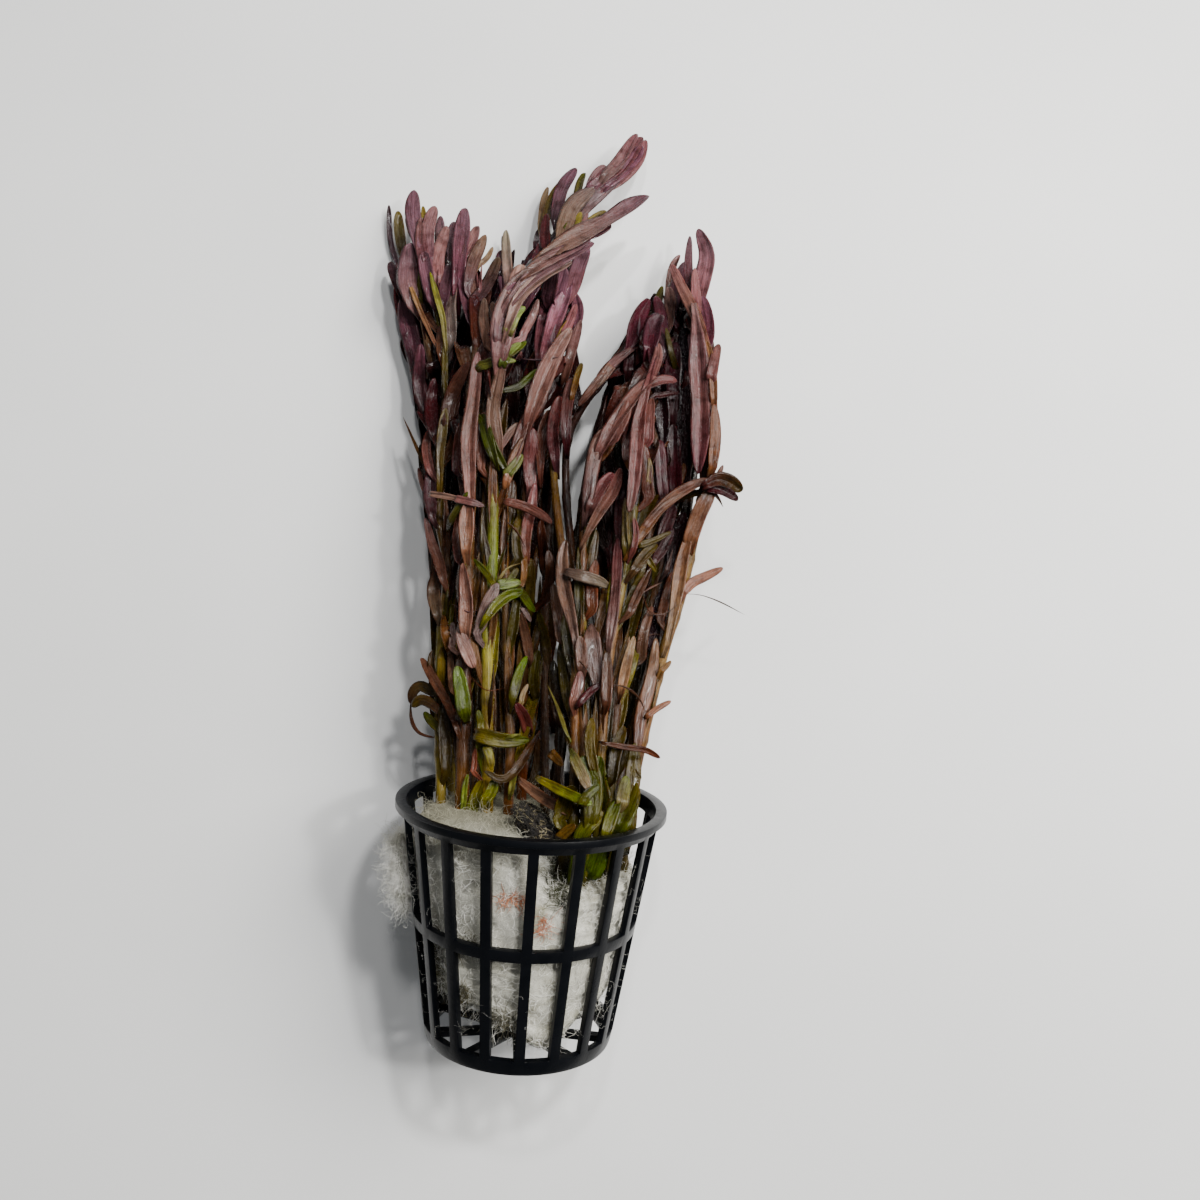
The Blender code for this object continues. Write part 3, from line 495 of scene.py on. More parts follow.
def addBar(heap, line, radii, colours, sides=10):
    # A round bar along the line.
    across, over = lineFrames(line)[1:]
    angle = np.linspace(0.0, math.tau, sides, endpoint=False)
    rim = np.cos(angle)[None, :, None] * over[:, None] + np.sin(angle)[None, :, None] * across[:, None]
    rings = line[:, None] + rim * radii[:, None, None]
    start = chance.uniform(0, patternStarts)
    turn = np.sin(angle)[None, :] * radii[:, None]
    gone = distances(line)[:, None]
    places = np.stack(np.broadcast_arrays(turn * 1.5 + start, gone + start, start), axis=-1)
    addLoft(heap, rings, colours[:, None], places)


def potPlaces(points):
    # From the view's frame to the pot's own: distance from its axis, angle about it, height along it.
    turned = (points - potSeat[:3, 3]) @ potSeat[:3, :3]
    up, right, along = turned[..., 0], turned[..., 1], turned[..., 2]
    return np.hypot(up, right), np.arctan2(right, up), along


# Clearances in millimetres, and the heights on the pot between which the threads stay.
wallRoom = {"behind": 0.12, "over": 0.16, "top": 45.0, "inside": (0.8, 60.0), "outside": (1.0, 44.5)}


def insideWall(line):
    # Threads of the wad stay behind the ribs.
    radius, angle, height = potPlaces(line)
    room = wallRadius(np.clip(height, 0.0, wallRoom["top"])) - potSize["wall"] - wallRoom["behind"]
    return inPot(polar(np.minimum(radius, room), angle, np.clip(height, *wallRoom["inside"])))


def outsideWall(line):
    # Loose threads come out through a slot and lie over the ribs.
    radius, angle, height = potPlaces(line)
    least = wallRadius(np.clip(height, 0.0, wallRoom["top"])) + wallRoom["over"]
    least[:, 0] = 0.0
    return inPot(polar(np.maximum(radius, least), angle, np.clip(height, *wallRoom["outside"])))


def insideBall(centre, size, shell):
    # Keeps wires on the outer part of a lump.
    def keep(line):
        away = (line - centre) / size
        reach = np.linalg.norm(away, axis=-1, keepdims=True)
        return centre + away / np.maximum(reach, 1e-6) * np.clip(reach, *shell) * size
    return keep


# Upward slants, because hardly any thread runs exactly that way.
threadShape = {"bend": 0.7, "taper": 0.4, "clearance": 0.05, "upward": (0.31, 0.22, 0.92)}


def threadHeap(feet, ways, lengths, radius, curl, points=7, sides=3, keep=None):
    # Many curly threads at once, each a thin bar.
    count = len(feet)
    line = np.zeros((count, points, 3))
    line[:, 0] = feet
    way = unit(ways)
    bend = chance.normal(0.0, 1.0, (count, 3))
    for step in range(1, points):
        bend = threadShape["bend"] * bend + threadShape["bend"] * chance.normal(0.0, 1.0, (count, 3))
        way = unit(way + curl * bend)
        line[:, step] = line[:, step - 1] + way * (lengths / (points - 1))[:, None]
    if keep:
        line = keep(line)
    across, over = lineFrames(line, threadShape["upward"])[1:]
    angle = np.linspace(0.0, math.tau, sides, endpoint=False)
    rim = np.cos(angle)[:, None] * over[:, :, None] + np.sin(angle)[:, None] * across[:, :, None]
    size = radius * np.ones(count)
    taper = size[:, None] * (1.0 - threadShape["taper"] * np.linspace(0.0, 1.0, points) ** 2)
    rings = line[:, :, None] + rim * taper[:, :, None, None]
    rings[..., 2] = np.maximum(rings[..., 2], threadShape["clearance"])
    index = np.arange(count * points * sides).reshape(count, points, sides)
    faces = bandFaces(index) + index[:, 0, ::-1].tolist() + index[:, -1].tolist()
    return newHeap([rings.reshape(-1, 3)], faces)


# Net pot

def makePot(finish):
    # The flat grid is wrapped round the axis, its slots taken out, then thickened and its edges rounded.
    size = potSize
    flangeLow = size["height"] - size["wall"]
    wall = [size[name] for name in ("footBand", "lowRow", "ringLow", "ringHigh", "highRow")]
    wall.append(size["height"] - size["rimBand"])
    rows = [
        (size["hubRadius"], 0.0), (size["baseRow"], 0.0), (size["footRingInner"], 0.0),
        (size["footRadius"] - size["footRounding"], 0.0),
        (size["footRadius"] - 0.25 * size["footRounding"], 0.25 * size["footRounding"]),
        (size["footRadius"], size["footRounding"]), *((wallRadius(height), height) for height in wall),
        (size["wallTopRadius"] + size["lipFlare"], flangeLow), (size["rimRadius"], flangeLow),
    ]
    spokeRows, slotRows = (0, 1), (6, 7, 9, 10)
    split = (-1.0, 0.0, 1.0)
    perRib = 8
    columns = perRib * size["ribs"]
    shape = bmesh.new()
    bmesh.ops.create_grid(shape, x_segments=columns, y_segments=len(rows) - 1, size=0.5)
    place = {}
    for corner in shape.verts:
        place[corner] = (
            round((corner.co.x + 0.5) * columns), round((corner.co.y + 0.5) * (len(rows) - 1))
        )
    unwanted = []
    for face in shape.faces:
        column = min(place[corner][0] for corner in face.verts)
        row = min(place[corner][1] for corner in face.verts)
        onRib = column % perRib < 2
        onSpoke = onRib and (column // perRib) % 2 == 0
        if (row in spokeRows and not onSpoke) or (row in slotRows and not onRib):
            unwanted.append(face)
    for corner, (column, row) in place.items():
        radius, height = rows[row]
        rib, part = divmod(column, perRib)
        half = math.asin(0.5 * size["ribWidth"] / radius)
        middle = size["ribStart"] + math.tau * rib / size["ribs"]
        if part < 3:
            angle = middle + half * split[part]
        else:
            span = math.tau / size["ribs"] - 2 * half
            angle = middle + half + span * (part - 2) / (perRib - 2)
        corner.co = polar(radius, angle, height)
    bmesh.ops.delete(shape, geom=unwanted, context="FACES")
    bmesh.ops.remove_doubles(shape, verts=shape.verts, dist=0.001)
    hub = [corner for corner in shape.verts if corner.co.xy.length < size["hubRadius"] + 0.01]
    bmesh.ops.contextual_create(shape, geom=hub)
    bmesh.ops.recalc_face_normals(shape, faces=shape.faces)
    shape.normal_update()
    lip = max(shape.faces, key=lambda face: face.calc_center_median().z)
    if lip.normal.z > 0:
        bmesh.ops.reverse_faces(shape, faces=shape.faces)
    seat = Matrix.Translation(Vector(shift)) @ potFrame()
    bmesh.ops.transform(shape, matrix=Matrix.Scale(mm, 4) @ seat, verts=shape.verts)
    mesh = bpy.data.meshes.new("potSkin")
    shape.to_mesh(mesh)
    shape.free()
    rough = addObject("potSkin", mesh)
    skin = rough.modifiers.new("wall", "SOLIDIFY")
    skin.thickness = size["wall"] * mm
    skin.offset = -1.0
    skin.use_even_offset = True
    edge = rough.modifiers.new("edges", "BEVEL")
    edge.width = size["edgeRounding"] * mm
    edge.segments = 2
    edge.limit_method = "ANGLE"
    edge.angle_limit = math.radians(35.0)
    graph = bpy.context.evaluated_depsgraph_get()
    mesh = bpy.data.meshes.new_from_object(rough.evaluated_get(graph))
    bpy.data.objects.remove(rough, do_unlink=True)
    mesh.name = "pot"
    mesh.shade_smooth()
    mesh.set_sharp_from_angle(angle=math.radians(40.0))
    mesh.materials.clear()
    mesh.materials.append(finish)
    made = addObject("pot", mesh)
    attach(made, root)
    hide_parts("net_pot")
    return made


# Floss

flossSize = {
    "clearance": 0.35, "middle": 26.0, "lump": 1.2, "top": 46.2, "topDrop": 9.5, "foot": 10.5,
    "footBulge": 7.4, "dent": 5.5, "dentAngle": 0.35, "dentWidth": 0.45, "dentHeight": 44.0, "dentReach": 8.0,
    "tuftAngle": math.radians(-86.0), "tuftHeight": 32.4, "tuftAcross": 5.2, "tuftTall": 7.8, "tuftDeep": 2.3,
    "tuftLumps": (0.25, 3.5), "tuftGap": 0.25, "squareness": 9, "edge": 0.12, "reach": 22.0,
    "dropFrom": -3.0, "dropTo": 10.0, "bulgeRight": 7.0, "bulgeWidth": 8.0,
    "knots": ((0.7, 11.0), (0.25, 31.0)), "lumpsAcross": 3.0, "lumpsAlong": 2.5, "grid": (120, 72),
    "tuftGrid": (48, 30),
}


def smoothStep(low, high, value):
    share = min(1.0, max(0.0, (value - low) / (high - low)))
    return share * share * (3.0 - 2.0 * share)


def gridBall(segments, rings):
    # Points and faces of a closed ball: (rings + 1) rows from pole to pole, faces in the same order each run.
    shape = bmesh.new()
    bmesh.ops.create_uvsphere(shape, u_segments=segments, v_segments=rings, radius=1.0)
    points = np.array([corner.co[:] for corner in shape.verts])
    faces = []
    for face in shape.faces:
        around = [corner.index for corner in face.verts]
        first = around.index(min(around))
        faces.append(around[first:] + around[:first])
    shape.free()
    return points, sorted(faces)


def flossBody():
    size = flossSize
    ball, faces = gridBall(*size["grid"])
    across, lengthways = size["lumpsAcross"], size["lumpsAlong"]
    points = []
    for up, right, along in ball:
        around = math.hypot(up, right)
        fullness = (1.0 - min(1.0, abs(along)) ** size["squareness"]) ** size["edge"]
        roughRight = size["reach"] * fullness * (right / around if around > 1e-6 else 0.0)
        top = size["top"] - size["topDrop"] * smoothStep(size["dropFrom"], size["dropTo"], roughRight)
        bulge = math.exp(-((roughRight - size["bulgeRight"]) / size["bulgeWidth"]) ** 2)
        low = size["foot"] - size["footBulge"] * bulge
        end = top if along > 0 else low
        height = size["middle"] + (end - size["middle"]) * abs(along) ** 0.8
        lump = size["lump"] * (0.5 + noise.noise(Vector((across * up, across * right, lengthways * along))))
        lump += sum(knot * noise.noise(Vector((up, right, along)) * often) for knot, often in size["knots"])
        radius = fullness * (wallRadius(height) - potSize["wall"] - size["clearance"] - max(0.0, lump))
        angle = math.atan2(right, up)
        sideways = (angle - size["dentAngle"]) / size["dentWidth"]
        dent = math.exp(-sideways ** 2 - ((height - size["dentHeight"]) / size["dentReach"]) ** 2)
        radius -= size["dent"] * dent * fullness
        points.append((radius * math.cos(angle), radius * math.sin(angle), height))
    return inPot(np.array(points)), faces


def flossTuft():
    size = flossSize
    ball, faces = gridBall(*size["tuftGrid"])
    swelling, often = size["tuftLumps"]
    points = []
    for side, rise, out in ball:
        height = size["tuftHeight"] + size["tuftTall"] * rise
        swell = 1.0 + swelling * noise.noise(Vector((side, rise, out)) * often)
        radius = wallRadius(height) + size["tuftGap"] + 0.5 * size["tuftDeep"] * swell * (1.0 + out)
        angle = size["tuftAngle"] + side * size["tuftAcross"] * swell / radius
        points.append((radius * math.cos(angle), radius * math.sin(angle), height))
    return inPot(np.array(points)), faces


def scatterOn(points, faces, count):
    # Random places on a surface, with the way each faces.
    quads = [face if len(face) == 4 else face + face[-1:] for face in faces]
    corners = points[np.array(quads)]
    normal = np.cross(corners[:, 2] - corners[:, 0], corners[:, 3] - corners[:, 1])
    area = np.linalg.norm(normal, axis=1)
    normal /= np.maximum(area, 1e-9)[:, None]
    pick = chance.choice(len(quads), count, p=area / area.sum())
    a, b = chance.random((2, count, 1))
    chosen = corners[pick]
    low = chosen[:, 0] * (1 - a) + chosen[:, 1] * a
    high = chosen[:, 3] * (1 - a) + chosen[:, 2] * a
    return low * (1 - b) + high * b, normal[pick]


def tangled(normal, outward):
    # Ways that run mostly along the surface and lift off it a little.
    loose = chance.normal(0.0, 1.0, normal.shape)
    loose -= (loose * normal).sum(axis=1, keepdims=True) * normal
    return loose + outward * normal * np.abs(chance.normal(1.0, 0.5, (len(normal), 1)))


# Sizes in millimetres. Real fibres are some 0.03 mm thick; most of these are thicker, so that they show.
threads = {
    "wad": {"count": 3400, "radius": 0.042, "length": (2.5, 6.5), "curl": 0.9, "lift": 0.02},
    "wadFine": {"count": 3400, "radius": 0.03, "length": (3.5, 7.5), "curl": 1.3, "lift": 0.06},
    "tuft": {"count": 3400, "radius": 0.026, "length": (3.0, 7.0), "curl": 1.3, "lift": 0.35},
    "loose": {
        "count": 300, "radius": 0.01, "length": (1.5, 5.0), "curl": 0.75, "between": (0.3, 0.7),
        "depth": 1.4, "outward": 0.08,
    },
    "stain": {
        "radius": 0.045, "length": (1.5, 5.0), "curl": 0.4, "lift": 0.15, "tries": 60000, "facing": 0.1,
    },
    "rooted": 0.1,
}
# Heights on the pot of its two rows of slots, where the loose threads come out.
slotHeights = (27.0, 44.0), (6.0, 22.5)

# Stains in the floss: pixel across and down, reach across and down in pixels, threads, dark and light tone.
stains = [
    ("orangeThreads", (513, 899), (16, 5), 240, "#a0542c", "#c88a66"),
    ("orangeThreadsLow", (542, 928), (6, 8), 130, "#a0542c", "#c07a58"),
    ("siltThreads", (437, 962), (9, 34), 420, "#1d1c0c", "#4a4420"),
    ("siltThreadsMiddle", (466, 944), (12, 7), 170, "#2c2814", "#5d5636"),
    ("siltThreadsLow", (463, 993), (9, 9), 170, "#26220f", "#5d5636"),
    ("siltThreadsFoot", (492, 1022), (26, 12), 260, "#2a2716", "#6b6650"),
    ("mossThreads", (560, 882), (14, 26), 700, "#16190a", "#3f4216"),
    ("fuzzThreads", (596, 880), (16, 14), 420, "#77735f", "#b5b2a2"),
]


def spotsInView(points, faces, count, middle, reach):
    # Places on the side of a surface that the view shows, near a pixel.
    feet, normal = scatterOn(points, faces, threads["stain"]["tries"])
    across, down = pixelOf(feet)
    away = np.hypot((across - middle[0]) / reach[0], (down - middle[1]) / reach[1])
    near = np.flatnonzero((away < 1.0) & (normal[:, 2] > threads["stain"]["facing"]))[:count]
    return feet[near], normal[near]


def makeFloss(felt, thread):
    points, faces = flossBody()
    tuftPoints, tuftFaces = flossTuft()
    for name, corners, around, nodes in (
        ("flossWad", points, faces, ["floss_wad"]), ("flossTuft", tuftPoints, tuftFaces, []),
    ):
        pieceFrom(name, newHeap([corners], around), felt, nodes)
    for name, corners, around, keep in (
        ("wad", points, faces, insideWall), ("wadFine", points, faces, insideWall),
        ("tuft", tuftPoints, tuftFaces, None),
    ):
        setting = threads[name]
        feet, normal = scatterOn(corners, around, setting["count"])
        lengths = chance.uniform(*setting["length"], len(feet))
        pieceFrom(name + "Threads", threadHeap(
            feet - threads["rooted"] * normal, tangled(normal, setting["lift"]), lengths, setting["radius"],
            setting["curl"], points=10, keep=keep,
        ), thread)
    setting = threads["loose"]
    count = setting["count"]
    rib = chance.integers(0, potSize["ribs"], count) + chance.uniform(*setting["between"], count)
    upper = chance.random(count) < 0.5
    height = np.where(upper, *(chance.uniform(*heights, count) for heights in slotHeights))
    angle = potSize["ribStart"] + math.tau * rib / potSize["ribs"]
    feet = inPot(polar(wallRadius(height) - setting["depth"], angle, height))
    outward = feet - inPot(np.stack([0 * height, 0 * height, height], axis=1))
    ways = setting["outward"] * outward + chance.normal(0.0, 1.0, feet.shape)
    lengths = chance.uniform(*setting["length"], count)
    pieceFrom("looseThreads", threadHeap(
        feet, ways, lengths, setting["radius"], setting["curl"], points=14, keep=outsideWall
    ), thread)
    setting = threads["stain"]
    for name, middle, reach, count, dark, light in stains:
        feet, normal = spotsInView(points, faces, count, middle, reach)
        lengths = chance.uniform(*setting["length"], len(feet))
        pieceFrom(name, threadHeap(
            feet + threads["rooted"] * normal, tangled(normal, setting["lift"]), lengths, setting["radius"],
            setting["curl"], keep=insideWall,
        ), threadSkin(name, dark, light, flossFinish["stainRough"]))
    print("floss done")


# Old roots

rootClump = {
    "centre": (11.5, 1.2, 47.0), "size": (6.6, 3.1, 2.9), "core": 0.5, "wires": 1300, "paleWires": 220,
    "radius": (0.04, 0.09), "length": (1.4, 3.6), "curl": 1.0, "slant": (0.72, -0.69, 0.0), "long": 1.4,
    "narrow": 0.74, "lumps": (0.7, 2.6), "wireDepth": 0.8, "wireReach": 1.15,
    "shell": (0.5, 1.1), "grid": (32, 20), "mud": ("#040302", "#100c06", 0.95),
    "old": ("#0b0805", "#2b2012", 0.8), "dry": ("#6a5c38", "#b5ab90", 0.4),
}


def makeRootClump():
    # A tangle of dark wiry roots over a dark core, with some pale dry ones.
    centre = inPot(np.array(rootClump["centre"]))
    size = np.array(rootClump["size"])
    ball, faces = gridBall(*rootClump["grid"])
    lumps, often = rootClump["lumps"]
    swell = np.array([1.0 + lumps * noise.noise(Vector(place) * often) for place in ball])[:, None]
    slant = np.array(rootClump["slant"])
    beside = np.array([-slant[1], slant[0], 0.0])
    stretch = np.eye(3) + (rootClump["long"] - 1.0) * np.outer(slant, slant)
    stretch += (rootClump["narrow"] - 1.0) * np.outer(beside, beside)
    core = inPot(np.array(rootClump["centre"]) + ball * swell * size * rootClump["core"])
    core = newHeap([centre + (core - centre) @ stretch], faces)
    old = threadSkin("oldRoots", *rootClump["old"])
    pieceFrom("rootCore", core, threadSkin("rootMud", *rootClump["mud"]), ["root_clump"])
    for name, count, finish in (
        ("rootWires", rootClump["wires"], old),
        ("paleRootWires", rootClump["paleWires"], threadSkin("dryRoots", *rootClump["dry"])),
    ):
        spots = chance.normal(0.0, 1.0, (count, 3))
        spots /= np.linalg.norm(spots, axis=1, keepdims=True)
        feet = np.array(rootClump["centre"]) + spots * size * rootClump["wireDepth"]
        ways = np.cross(spots, chance.normal(0.0, 1.0, spots.shape))
        lengths = chance.uniform(*rootClump["length"], count)
        radii = chance.uniform(*rootClump["radius"], count)
        heap = threadHeap(
            inPot(feet), ways, lengths, radii, rootClump["curl"], points=12, sides=4,
            keep=insideBall(centre, size[[1, 2, 0]] * rootClump["wireReach"], rootClump["shell"]),
        )
        heap["points"][0] = centre + (heap["points"][0] - centre) @ stretch
        pieceFrom(name, heap, finish)
    print("old roots done")


# Stems: the pixels that each runs through from the mouth of the pot to its tip, and its height there

stemRoutes = {
    "shoot_left_01": [
        (467, 802, 12), (448, 700, 5), (436, 600, 1.5), (428, 500, 1.5), (423, 430, 1.5), (414, 365, 3),
        (404, 308, 4),
    ],
    "shoot_left_02": [
        (500, 804, 6), (490, 700, 3), (487, 600, 1.5), (489, 500, 1.5), (493, 420, 1.5), (498, 340, 1.5),
        (505, 285, 3),
    ],
    "shoot_left_03": [
        (524, 806, 6), (517, 700, 3), (516, 600, 1.5), (520, 500, 1.5), (527, 400, 3), (536, 320, 4),
        (546, 250, 6),
    ],
    "shoot_left_04": [
        (483, 803, 9), (464, 700, 5), (458, 600, 3), (456, 450, 3), (452, 360, 4), (446, 310, 5),
        (438, 275, 6),
    ],
    "shoot_left_05": [
        (453, 802, 17), (445, 700, 14), (441, 600, 12), (438, 500, 10), (435, 400, 9), (425, 330, 9),
        (412, 285, 9),
    ],
    "shoot_left_06": [
        (498, 806, 14), (501, 700, 15), (503, 600, 15), (508, 500, 14), (514, 420, 13), (522, 350, 12),
        (536, 285, 12), (556, 235, 11), (582, 196, 10), (610, 170, 9),
    ],
    "shoot_left_07": [
        (474, 803, 20), (476, 700, 17), (480, 600, 16), (483, 500, 15), (485, 400, 13), (483, 335, 11),
        (485, 290, 9),
    ],
    "shoot_left_08": [
        (521, 808, 17), (524, 720, 19), (526, 620, 19), (526, 530, 19), (529, 450, 17), (545, 370, 15),
        (557, 320, 12), (564, 280, 10),
    ],
    "shoot_left_09": [
        (441, 797, 24), (439, 720, 22), (441, 640, 21), (447, 570, 19), (439, 520, 18), (441, 460, 17),
        (445, 400, 15), (443, 345, 13), (432, 285, 11), (418, 240, 9),
    ],
    "shoot_left_10": [
        (462, 804, 28), (464, 700, 27), (468, 610, 26), (468, 550, 25), (470, 480, 23), (471, 400, 20),
        (477, 350, 18), (473, 300, 14), (464, 255, 11),
    ],
    "shoot_left_11": [
        (487, 808, 28), (487, 700, 28), (488, 620, 27), (492, 560, 25), (493, 500, 24), (491, 440, 23),
        (497, 380, 22), (502, 335, 22), (514, 290, 22), (545, 257, 20), (590, 234, 15),
    ],
    "shoot_left_12": [
        (508, 812, 27), (510, 740, 27), (507, 660, 25), (505, 580, 24), (505, 500, 22), (512, 460, 21),
        (524, 425, 20), (540, 388, 19), (553, 360, 18), (564, 335, 16),
    ],
    "shoot_right_01": [
        (548, 812, 6), (564, 720, 3), (572, 620, 1.5), (580, 520, 1.5), (594, 440, 1.5), (612, 385, 3),
        (628, 345, 4),
    ],
    "shoot_right_02": [
        (590, 812, 10), (610, 730, 5), (630, 640, 1.5), (650, 560, 1.5), (666, 480, 1.5), (673, 400, 1.5),
        (668, 335, 3),
    ],
    "shoot_right_03": [
        (571, 818, 14), (594, 720, 9), (606, 620, 5), (616, 530, 3), (628, 450, 3), (640, 385, 4),
        (648, 330, 5),
    ],
    "shoot_right_04": [
        (545, 812, 15), (545, 740, 12), (544, 660, 9), (546, 580, 7), (551, 500, 5), (559, 440, 5),
        (568, 390, 5),
    ],
    "shoot_right_05": [
        (612, 812, 18), (630, 740, 16), (650, 660, 14), (670, 590, 12), (684, 520, 11), (690, 450, 10),
        (691, 380, 9), (692, 330, 9), (698, 290, 9),
    ],
    "shoot_right_06": [
        (604, 822, 27), (620, 740, 24), (641, 650, 20), (660, 570, 17), (673, 500, 15), (680, 430, 13),
        (682, 370, 11), (680, 310, 9),
    ],
    "shoot_right_07": [
        (559, 825, 31), (560, 740, 29), (567, 640, 24), (571, 560, 19), (566, 490, 16), (568, 440, 15),
        (584, 405, 15), (607, 376, 15), (628, 350, 14), (643, 318, 12),
    ],
    "shoot_right_08": [
        (611, 832, 37), (613, 740, 33), (626, 650, 29), (642, 575, 26), (651, 510, 23), (655, 450, 21),
        (657, 390, 18), (664, 335, 14),
    ],
    "shoot_right_09": [
        (598, 834, 40), (602, 740, 37), (606, 680, 35), (616, 620, 32), (627, 560, 29), (634, 510, 27),
        (639, 450, 25), (643, 390, 21), (649, 345, 17),
    ],
    "shoot_right_10": [
        (573, 836, 42), (575, 740, 38), (574, 640, 32), (564, 565, 27), (556, 500, 23), (553, 450, 20),
        (559, 412, 17), (572, 386, 14),
    ],
    "shoot_right_11": [
        (586, 836, 42), (584, 740, 38), (582, 640, 33), (583, 560, 29), (585, 505, 27), (594, 460, 26),
        (606, 428, 26), (624, 402, 25), (646, 388, 22),
    ],
    "shoot_right_12": [
        (625, 822, 32), (637, 760, 31), (649, 710, 29), (664, 650, 25), (681, 595, 22), (692, 545, 21),
        (704, 490, 21), (712, 440, 21), (712, 395, 21), (705, 345, 19), (690, 305, 15),
    ],
}

# Stem tones from the mouth of the pot to the tip.
stemTones = {
    "shoot_left_09": ["umber", "straw", "straw", "umberRose", "olive", "olive", "olive", "tanRose"],
    "shoot_left_10": ["tan", "umber", "dusk", "umberRose", "blush", "blush", "umberRose", "dustyRose"],
    "shoot_left_11": ["tan", "straw", "straw", "greenPale", "straw", "pearl", "rosePale", "dustyRose"],
    "shoot_left_12": ["tan", "umberRose", "greyUmber", "umber", "tanRose", "tanRose", "rose", "rosePale"],
    "shoot_left_08": ["umber", "rust", "tan", "blush", "rosePale", "rose", "mauve", "mauve"],
    "shoot_left_05": ["umber", "straw", "umber", "rose", "plum", "umberRose", "tanRose", "tanRose"],
    "shoot_right_08": ["olive", "straw", "umber", "umberRose", "dusk", "greyMauve", "umberRose", "umberRose"],
    "shoot_right_09": ["oliveYellow", "straw", "blush", "rosePale", "straw", "oliveYellow", "rust", "rose"],
    "shoot_right_10": ["oliveYellow", "olive", "tan", "blush", "dustyRose", "tan", "straw", "olive"],
    "shoot_right_11": ["oliveYellow", "straw", "rosePale", "straw", "rust", "tanRose", "rosePale", "rose"],
    "shoot_right_12": ["olive", "tan", "tanBlush", "tan", "tanBlush", "tan", "tan", "tanRose"],
}
usualTones = ["olive", "umber", "umber", "umberRose", "dusk", "dusk", "plum", "mauve"]
stemRadii = {"shoot_left_10": (1.5, 1.1), "shoot_left_11": (1.25, 1.2), "shoot_right_12": (1.3, 1.0)}
usualRadii = (1.1, 0.75)

# In millimetres: how deep the stems stand in the floss, how far apart their joints are, how far the swelling
# and the dark band of a joint reach. Swelling, darkness and taper are shares.
stemShape = {
    "footDepth": 11.0, "footSink": 3.0, "sinkAbove": 30.0, "step": 1.4, "jointEvery": 13.0,
    "jointSwell": 0.22, "swellReach": 0.9, "jointDark": 0.35, "darkReach": 0.6, "tipTaper": [0.85, 0.6, 0.3],
}


def stemLine(name):
    route = [pointInView(*spot) for spot in stemRoutes[name]]
    foot = route[0] - stemShape["footDepth"] * potSeat[:3, 2]
    foot[2] -= stemShape["footSink"] if route[0][2] > stemShape["sinkAbove"] else 0.0
    points = [foot] + route
    length = np.linalg.norm(np.diff(smoothLine(points, 40), axis=0), axis=1).sum()
    return smoothLine(points, max(20, round(length / stemShape["step"])))


def addStem(heap, name, line):
    foot, tip = stemRadii.get(name, usualRadii)
    share = np.linspace(0.0, 1.0, len(line))
    every = stemShape["jointEvery"]
    joint = np.abs((distances(line) + 4.0 * len(name)) % every - 0.5 * every)
    radii = foot + (tip - foot) * share
    radii = radii * (1.0 + stemShape["jointSwell"] * np.exp(-(joint / stemShape["swellReach"]) ** 2))
    radii[-3:] *= np.array(stemShape["tipTaper"])
    names = stemTones.get(name, usualTones)
    colours = between(share, np.linspace(0.0, 1.0, len(names)), np.array([tone[item] for item in names]))
    dark = stemShape["jointDark"] * np.exp(-(joint / stemShape["darkReach"]) ** 2)
    addBar(heap, line, radii, colours * (1.0 - dark)[:, None])


# Leaves that show: tone at the foot, tone at the tip, width in millimetres, millimetres above the pile of
# stems, roll in degrees, then the pixels the leaf runs through from its foot to its tip.

